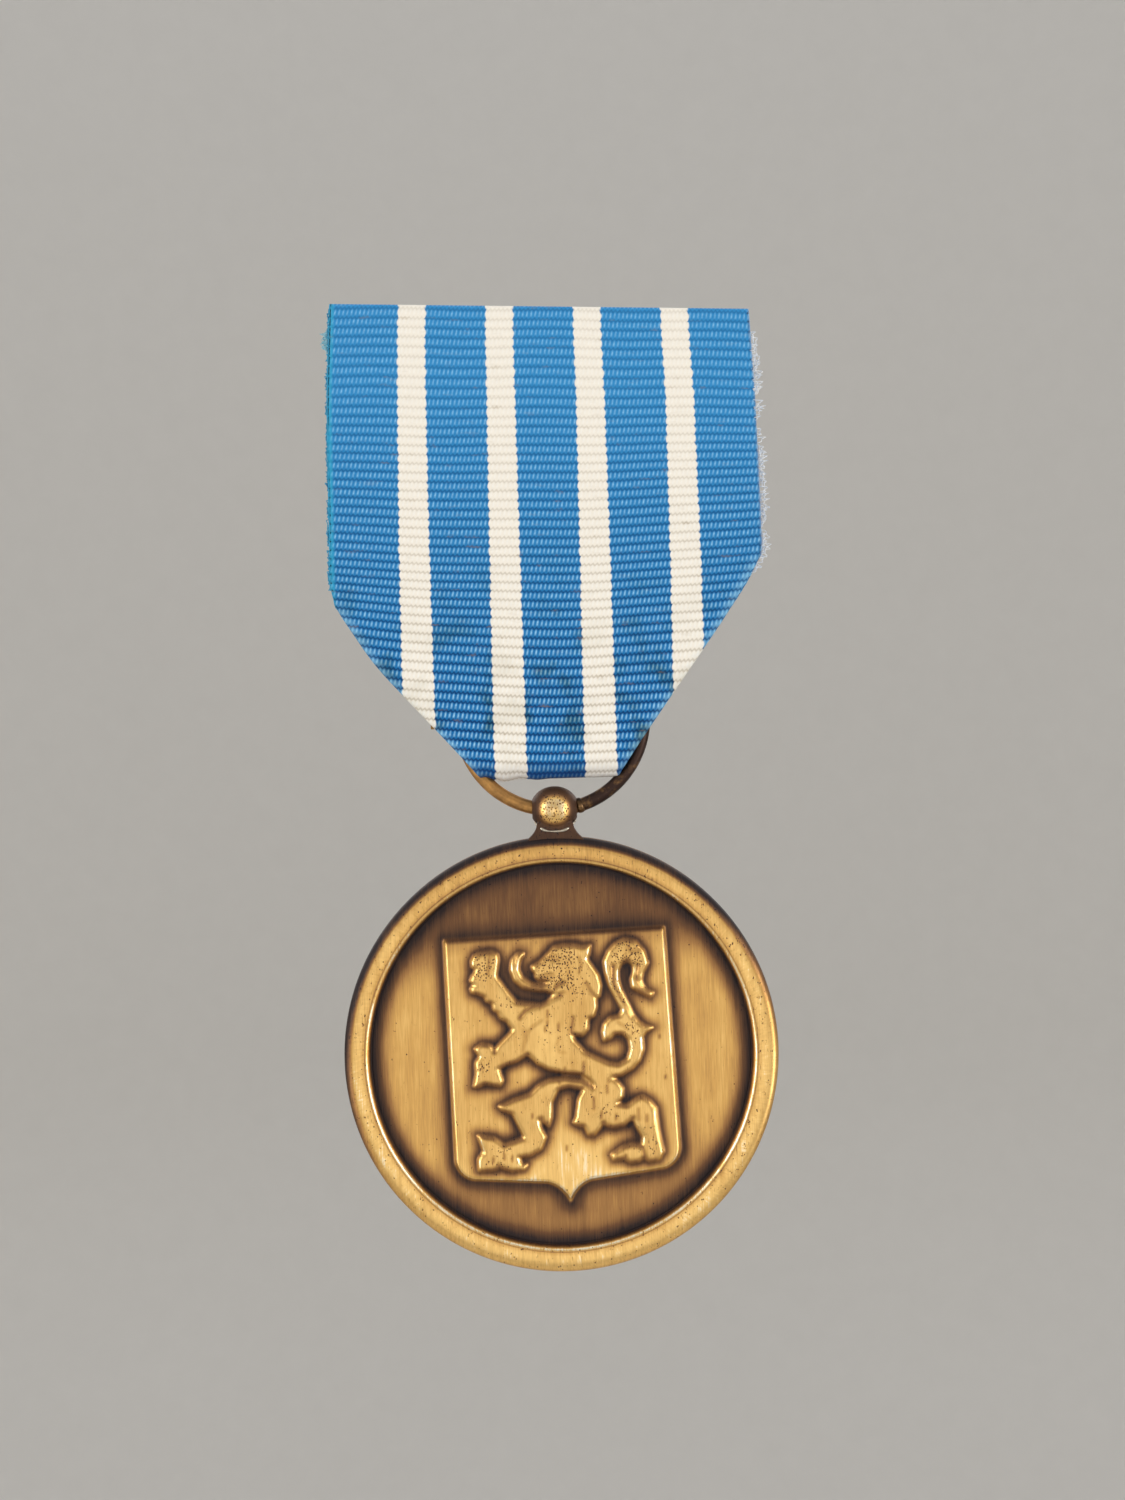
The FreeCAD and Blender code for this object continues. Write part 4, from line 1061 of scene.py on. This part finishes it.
def ribbon_material():
    """Ribbed silk: blue with cream stripes, drawn from the cloth's own coordinates in millimetres."""
    made = Nodes("ribbed_silk")
    map_node = made.tree.nodes.new("ShaderNodeUVMap")
    map_node.uv_map = "cloth"
    cloth_place = map_node.outputs["UV"]
    across, along = made.split(cloth_place)[:2]
    place = made.attribute("rib_place")
    worn_low = made.times(made.span(along, 16.0, 46.0), made.span(along, 52.0, 82.0, 1.0, 0.0))

    # Warp threads lie across each rib as slanted floats, staggered from one rib to the next.
    rib_index = made.math("FLOOR", made.plus(place, 0.5))
    rib_inside = made.minus(made.plus(place, 0.5), rib_index)
    stagger = made.times(made.math("FLOORED_MODULO", rib_index, 2.0), 0.5)
    slanted = made.times_plus(rib_inside, 0.45, stagger)
    thread_place = made.plus(made.math("DIVIDE", across, THREAD_PITCH), slanted)
    turn = made.times(thread_place, 2 * math.pi)
    thread = made.times_plus(made.math("COSINE", turn), 0.5, 0.5)
    jitter = made.noise(cloth_place, 3.1, 2.0)
    shifted = made.times_plus(made.minus(thread, 0.5), 0.16, place)
    crest = made.math("ABSOLUTE", made.math("COSINE", made.times(shifted, math.pi)))
    # Painted shade in the valleys between the ribs, stronger low down, and painted highlights (glints) on the
    # thread floats of the crests.
    groove_shade = made.times(made.span(crest, 0.0, 0.62, 1.0, 0.0), made.times_plus(worn_low, 0.58, 0.38))
    glint = made.math("POWER", thread, 2.2)
    glint = made.times(glint, made.span(jitter, 0.3, 0.7, 0.45, 1.0))
    glint = made.times(glint, made.span(crest, 0.45, 0.95))
    glint = made.times(glint, made.times_plus(worn_low, 0.42, 0.56))

    # Stripes whose edges bulge out a little on every rib.
    step = made.tree.nodes.new("ShaderNodeTexWhiteNoise")
    step.noise_dimensions = "1D"
    made.put(step.inputs["W"], rib_index)
    wander = made.times(made.minus(step.outputs["Value"], 0.5), 0.08)
    moved = made.plus(across, wander)
    phase = made.math("DIVIDE", made.minus(moved, STRIPE_FIRST - STRIPE_PITCH / 2), STRIPE_PITCH)
    wrapped = made.minus(made.math("FRACT", phase), 0.5)
    from_centre = made.times(made.math("ABSOLUTE", wrapped), STRIPE_PITCH)
    from_centre = made.times_plus(crest, -0.14, from_centre)
    from_centre = made.times_plus(worn_low, -0.16, from_centre)
    stripe = made.span(from_centre, STRIPE_WIDE / 2 - 0.16, STRIPE_WIDE / 2 - 0.06, 1.0, 0.0)
    first_four = made.span(phase, 3.98, 4.0, 1.0, 0.0)
    not_before = made.span(phase, -0.02, 0.0, 0.0, 1.0)
    stripe = made.times(stripe, made.times(first_four, not_before))

    high_blue = made.mix(jitter, srgb(38, 130, 192), srgb(60, 152, 212))
    low_blue = made.mix(jitter, srgb(6, 98, 164), srgb(20, 122, 188))
    blue = made.mix(worn_low, high_blue, low_blue)
    blue = made.mix(groove_shade, blue, srgb(2, 44, 96))
    blue = made.mix(glint, blue, srgb(168, 222, 252))
    cream = made.mix(made.times(groove_shade, 0.75), srgb(248, 241, 228), srgb(184, 170, 148))
    cream = made.mix(made.times(glint, 0.6), cream, srgb(255, 254, 250))
    colour = made.mix(stripe, blue, cream)

    # Binding threads along both selvages, and a painted highlight along the folded edges.
    left = made.span(across, -CLOTH_HALF + 0.30, -CLOTH_HALF + 0.55, 1.0, 0.0)
    colour = made.mix(made.times(left, 0.7), colour, srgb(56, 170, 208))
    right = made.span(across, CLOTH_HALF - 0.45, CLOTH_HALF - 0.15, 0.0, 1.0)
    colour = made.mix(made.times(right, 0.5), colour, srgb(190, 206, 232))

    # Painted highlight along the folded edges, strongest on the rib crests.
    fold_highlight = made.times(made.attribute("fold_edge"), made.times_plus(crest, 0.45, 0.05))
    fold_highlight = made.times(fold_highlight, made.times_plus(stripe, -0.85, 1.0))
    colour = made.mix(fold_highlight, colour, srgb(150, 206, 236))

    # Age: greenish stains near the folded point and faint rust lines; and a band of painted shade where the
    # cloth turns under.
    blotch = made.span(made.noise(cloth_place, 0.30, 3.0), 0.50, 0.66)
    near_point = made.times(made.span(along, 30.0, 43.0), made.span(along, 50.0, 60.0, 1.0, 0.0))
    on_blue = made.times_plus(stripe, -0.75, 1.0)
    blotch = made.times(made.times(blotch, near_point), on_blue)
    colour = made.mix(made.times(blotch, 0.6), colour, srgb(150, 148, 110), "MULTIPLY")
    rust_noise = made.noise(made.stretched(cloth_place, (0.55, 1.7, 1.0)), 1.0, 2.0)
    rust = made.times(made.span(rust_noise, 0.62, 0.72), made.times_plus(groove_shade, 0.7, 0.2))
    colour = made.mix(made.times(rust, 0.5), colour, srgb(158, 132, 92))
    # Painted shade: a dark band where the cloth turns under at the point.
    under = made.span(along, FOLD_START + 2.4, FOLD_START + 5.0, 1.0, 0.0)
    turning_shade = made.times(made.span(along, FOLD_START, FOLD_START + 1.6), under)
    turning_shade = made.times(turning_shade, made.times_plus(stripe, -0.7, 1.0))
    colour = made.mix(made.times(turning_shade, 0.75), colour, srgb(10, 50, 110))
    made.bump(made.times_plus(thread, 0.5, crest), 0.7, 0.06 * MM)
    made.shader.inputs["Sheen Weight"].default_value = 0.04
    made.shader.inputs["Sheen Roughness"].default_value = 0.4
    made.shader.inputs["Specular IOR Level"].default_value = 0.2
    return made.finish(Base_Color=colour, Roughness=made.span(glint, 0.0, 1.0, 0.75, 0.5))


def make_fray(name, side, count, low, high, bulge, radius, material, seed):
    """Small loops of loose thread along one edge of the ribbon's front."""
    rng = np.random.default_rng(seed)
    shapes = []
    for _ in range(count):
        height = rng.uniform(low, high)
        edge = float(edge_of(side, height))
        reach = rng.uniform(*bulge)
        tall = rng.uniform(0.25, 0.9)
        twist = rng.uniform(-0.25, 0.25)
        steps = 9
        path = []
        for step in range(steps):
            turn = math.pi * step / (steps - 1)
            x = edge - 0.1 + reach * math.sin(turn) * (1 + 0.3 * math.sin(3 * turn + twist * 9))
            z = height - HEAD_LEAN * side * x * smooth_step(height, -19.0, 4.0)
            z += tall * (0.5 - step / (steps - 1)) + 0.12 * math.sin(2 * turn + twist * 7)
            y = FRONT_LINE + twist * math.sin(turn) + rng.uniform(-0.03, 0.03)
            path.append((side * x * MM, y * MM, z * MM))
        shapes.append(tube(path, radius * MM, 5))
    piece = join_shapes(name, shapes)
    paint(piece, material)
    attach(piece, "ribbon")
    return piece


# ---------------------------------------------------------------- brooch and thread


def bevel_cad_copy(node, name, width, material, body):
    """A copy of a CAD part with its sharp edges broken."""
    source = frame["nodes"][node]
    piece = bpy.data.objects.new(name, source.data.copy())
    bpy.context.scene.collection.objects.link(piece)
    work = bmesh.new()
    work.from_mesh(piece.data)
    bmesh.ops.remove_doubles(work, verts=work.verts, dist=1e-7)
    bmesh.ops.dissolve_limit(work, angle_limit=math.radians(1.0), verts=work.verts, edges=work.edges)
    bmesh.ops.recalc_face_normals(work, faces=work.faces)
    work.to_mesh(piece.data)
    work.free()
    bevel = piece.modifiers.new("bevel", "BEVEL")
    bevel.width = width
    bevel.segments = 3
    bevel.limit_method = "ANGLE"
    bevel.angle_limit = math.radians(40)
    apply_modifiers(piece)
    stand_for(piece, node, material, body)


def twisted_thread(path, radius, turns, strands=3):
    """Strands that wind round a path, as a list of tube shapes."""
    path = np.asarray(path, float)
    ahead = np.gradient(path, axis=0)
    ahead /= np.linalg.norm(ahead, axis=1)[:, None] + 1e-12
    side = np.cross(ahead[0], (0.2, 0.3, 0.93))
    shapes = []
    frames = []
    for along in ahead:
        side = side - along * side.dot(along)
        side = side / np.linalg.norm(side)
        frames.append((side.copy(), np.cross(along, side)))
    for strand in range(strands):
        start = 2 * math.pi * strand / strands
        line = []
        for step, (here, (first, second)) in enumerate(zip(path, frames)):
            turn = start + 2 * math.pi * turns * step / (len(path) - 1)
            line.append(here + radius * 0.5 * (math.cos(turn) * first + math.sin(turn) * second))
        shapes.append(tube(line, radius * 0.55, 6))
    return shapes


STITCH_PLACES = (-10.5, -3.5, 3.5, 10.5)
FOLD_STITCH_STEP = 1.3


def make_hem_stitches(material):
    """Loops of twisted thread from the bar's sewing holes over its edge into the cloth."""
    bar_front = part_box("brooch_bar")[0].y
    shapes = []
    rng = np.random.default_rng(SEED + 5)
    for place in STITCH_PLACES:
        for row in (-1, 1):
            for offset in (-0.22, 0.02, 0.26):
                lean = rng.uniform(-0.12, 0.12)
                path = []
                for step in range(25):
                    turn = math.pi * step / 24
                    across = place + offset + lean * math.cos(turn)
                    up = 2.45 - 0.88 * math.cos(turn)
                    out = 0.93 * math.sin(turn)
                    path.append((across * MM, bar_front + (out - 0.05) * MM, row * up * MM))
                shapes.extend(twisted_thread(path, 0.11 * MM, 5))
    piece = join_shapes("hem_thread", shapes)
    stand_for(piece, "hem_stitches", material, "ribbon")


def make_fold_stitches(material):
    """Short visible stitches on the back of the fold, with the threads that cross the pocket."""
    low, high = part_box("fold_stitches")
    surface = TIP_HIGH.y + 0.03 * MM
    shapes = []
    for step in range(-2, 3):
        x = FOLD_STITCH_STEP * step * MM
        z = high.z - (0.2 + 0.11 * step * step) * MM
        crossing = [(x, low.y + (surface - low.y) * k / 6, z) for k in range(7)]
        shapes.extend(twisted_thread(crossing, 0.17 * MM, 3))
        if step < 2:
            path = []
            for k in range(15):
                share = k / 14
                ahead = 0.11 * ((step + 1) ** 2 - step**2) * share
                rise = 0.16 * math.sin(math.pi * share)
                path.append((x + FOLD_STITCH_STEP * share * MM, surface + rise * MM, z - ahead * MM))
            shapes.extend(twisted_thread(path, 0.15 * MM, 4))
    piece = join_shapes("fold_thread", shapes)
    stand_for(piece, "fold_stitches", material, "ribbon_tip")


def make_staple(material):
    """The bent brass wire whose end shows past the left slope."""
    low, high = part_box("fold_staple")
    radius = (high.y - low.y) / 2
    y = low.y + radius
    left = low.x + radius
    top = high.z - radius
    bend = 0.5 * MM
    path = [(left, y, low.z)]
    for step in range(9):
        turn = math.pi / 2 * step / 8
        path.append((left + bend * (1 - math.cos(turn)), y, top - bend * (1 - math.sin(turn))))
    path.append((high.x, y, top))
    piece = join_shapes("brass_staple", [tube(path, radius, 10)])
    stand_for(piece, "fold_staple", material, "ribbon_tip")


def make_brooch():
    """The sewn bar with its bracket, rivet, pin and catch, and the staple of the same brass."""
    brass = metal_material("brooch_brass", srgb(196, 152, 84), srgb(104, 74, 40), 0.34, (160, 2600, 2600))
    steel = metal_material("pin_steel", srgb(188, 186, 180), srgb(120, 112, 102), 0.28, (160, 2600, 2600))
    for node, name, width in (
        ("brooch_bar", "sewn_bar", 0.12 * MM),
        ("brooch_hinge", "hinge_bracket", 0.07 * MM),
        ("brooch_catch", "pin_catch", 0.06 * MM),
    ):
        bevel_cad_copy(node, name, width, brass, "ribbon")
    bevel_cad_copy("hinge_rivet", "eye_rivet", 0.09 * MM, steel, "ribbon")
    bevel_cad_copy("brooch_pin", "brooch_needle", 0.08 * MM, steel, "pin")
    make_staple(brass)


# ---------------------------------------------------------------- stage, lights and camera

CAMERA_SIDE = 0.86 * MM
CAMERA_HEIGHT = -34.9 * MM
CAMERA_GAP = 157.0 * MM
CAMERA_ROLL = 1.64
CAMERA_LENS = 42.6
COVE_RADIUS = 1.3
COVE_FLOOR = -0.62
COVE_HIGH = 1.1
COVE_BEND = 0.35


def make_stage():
    """A pale floor that curves up into a round wall, far from the medal."""
    inner = COVE_RADIUS - COVE_BEND
    profile = [(0.02, COVE_FLOOR)]
    for step in range(13):
        turn = math.pi / 2 * step / 12
        profile.append((inner + COVE_BEND * math.sin(turn), COVE_FLOOR + COVE_BEND * (1 - math.cos(turn))))
    profile.append((COVE_RADIUS, COVE_HIGH))
    points, faces = lathe(profile, 96)
    cove = new_mesh_object("studio_cove", points, faces[:-1])
    made = Nodes("pale_paper")
    grain = made.grain((60, 60, 60), 3.0)
    tint = made.mix(grain, srgb(216, 213, 208), srgb(221, 218, 213))
    paint(cove, made.finish(Base_Color=tint, Roughness=0.9))


def area_light(name, place, aim, size, power):
    """A rectangular lamp that faces a point."""
    light = bpy.data.lights.new(name, "AREA")
    light.shape = "RECTANGLE"
    light.size, light.size_y = size
    light.energy = power
    lamp = bpy.data.objects.new(name, light)
    lamp.location = place
    lamp.rotation_euler = (Vector(aim) - Vector(place)).to_track_quat("-Z", "Y").to_euler()
    bpy.context.scene.collection.objects.link(lamp)


def make_lights():
    """A soft pale surround with a tall box at each side, a low fill in front and two lamps behind."""
    world = bpy.data.worlds.new("studio")
    bpy.context.scene.world = world
    world.use_nodes = True
    background = world.node_tree.nodes["Background"]
    background.inputs["Color"].default_value = (0.95, 0.97, 1.0, 1.0)
    background.inputs["Strength"].default_value = 0.85
    aim = (0.0, 0.0, -0.04)
    area_light("left_box", (-0.50, -0.34, 0.0), aim, (0.22, 0.50), 1.6)
    area_light("right_box", (0.50, -0.34, -0.04), aim, (0.22, 0.50), 1.6)
    area_light("front_fill", (0.0, -0.95, -0.22), aim, (0.6, 0.4), 0.8)
    area_light("back_left", (-0.4, 0.42, 0.22), aim, (0.4, 0.4), 0.9)
    area_light("back_right", (0.4, 0.42, 0.22), aim, (0.4, 0.4), 0.7)


def make_camera():
    """Looks straight at the front, a little below the middle and slightly turned."""
    data = bpy.data.cameras.new("camera")
    data.lens = CAMERA_LENS
    data.sensor_width = 36.0
    data.clip_start = 0.005
    data.clip_end = 20.0
    camera = bpy.data.objects.new("camera", data)
    front = min(DISC_LOW.y, UPPER_LOW.y)
    camera.location = (CAMERA_SIDE, front - CAMERA_GAP, CAMERA_HEIGHT)
    facing = Matrix.Rotation(math.pi / 2, 4, "X")
    roll = Matrix.Rotation(-math.radians(CAMERA_ROLL), 4, "Z")
    camera.rotation_euler = (facing @ roll).to_euler()
    bpy.context.scene.collection.objects.link(camera)
    bpy.context.scene.camera = camera
    bpy.context.scene.view_settings.view_transform = "Standard"
    bpy.context.scene.view_settings.look = "None"


make_stage()
make_lights()
make_camera()
make_medal()
make_ball()
make_solder()
make_ring()
cloth, strip_length = make_ribbon()
blue_thread = thread_material("blue_thread", srgb(60, 120, 180), srgb(20, 60, 110))
pale_thread = thread_material("pale_thread", srgb(240, 240, 240), srgb(196, 208, 224))
teal_thread = thread_material("teal_thread", srgb(64, 172, 206), srgb(28, 120, 166))
nub_thread = thread_material("nub_thread", srgb(150, 206, 222), srgb(110, 176, 196))
right_fray = make_fray("right_fray", 1, 110, -19.5, 2.2, (0.35, 0.95), 0.042, pale_thread, SEED + 2)
left_fray = make_fray("left_fray", -1, 150, -20.5, 3.9, (0.12, 0.30), 0.045, teal_thread, SEED + 3)
nub = make_fray("left_nub", -1, 30, 0.3, 1.9, (0.3, 0.75), 0.03, nub_thread, SEED + 4)
make_hem_stitches(blue_thread)
make_fold_stitches(blue_thread)
make_brooch()
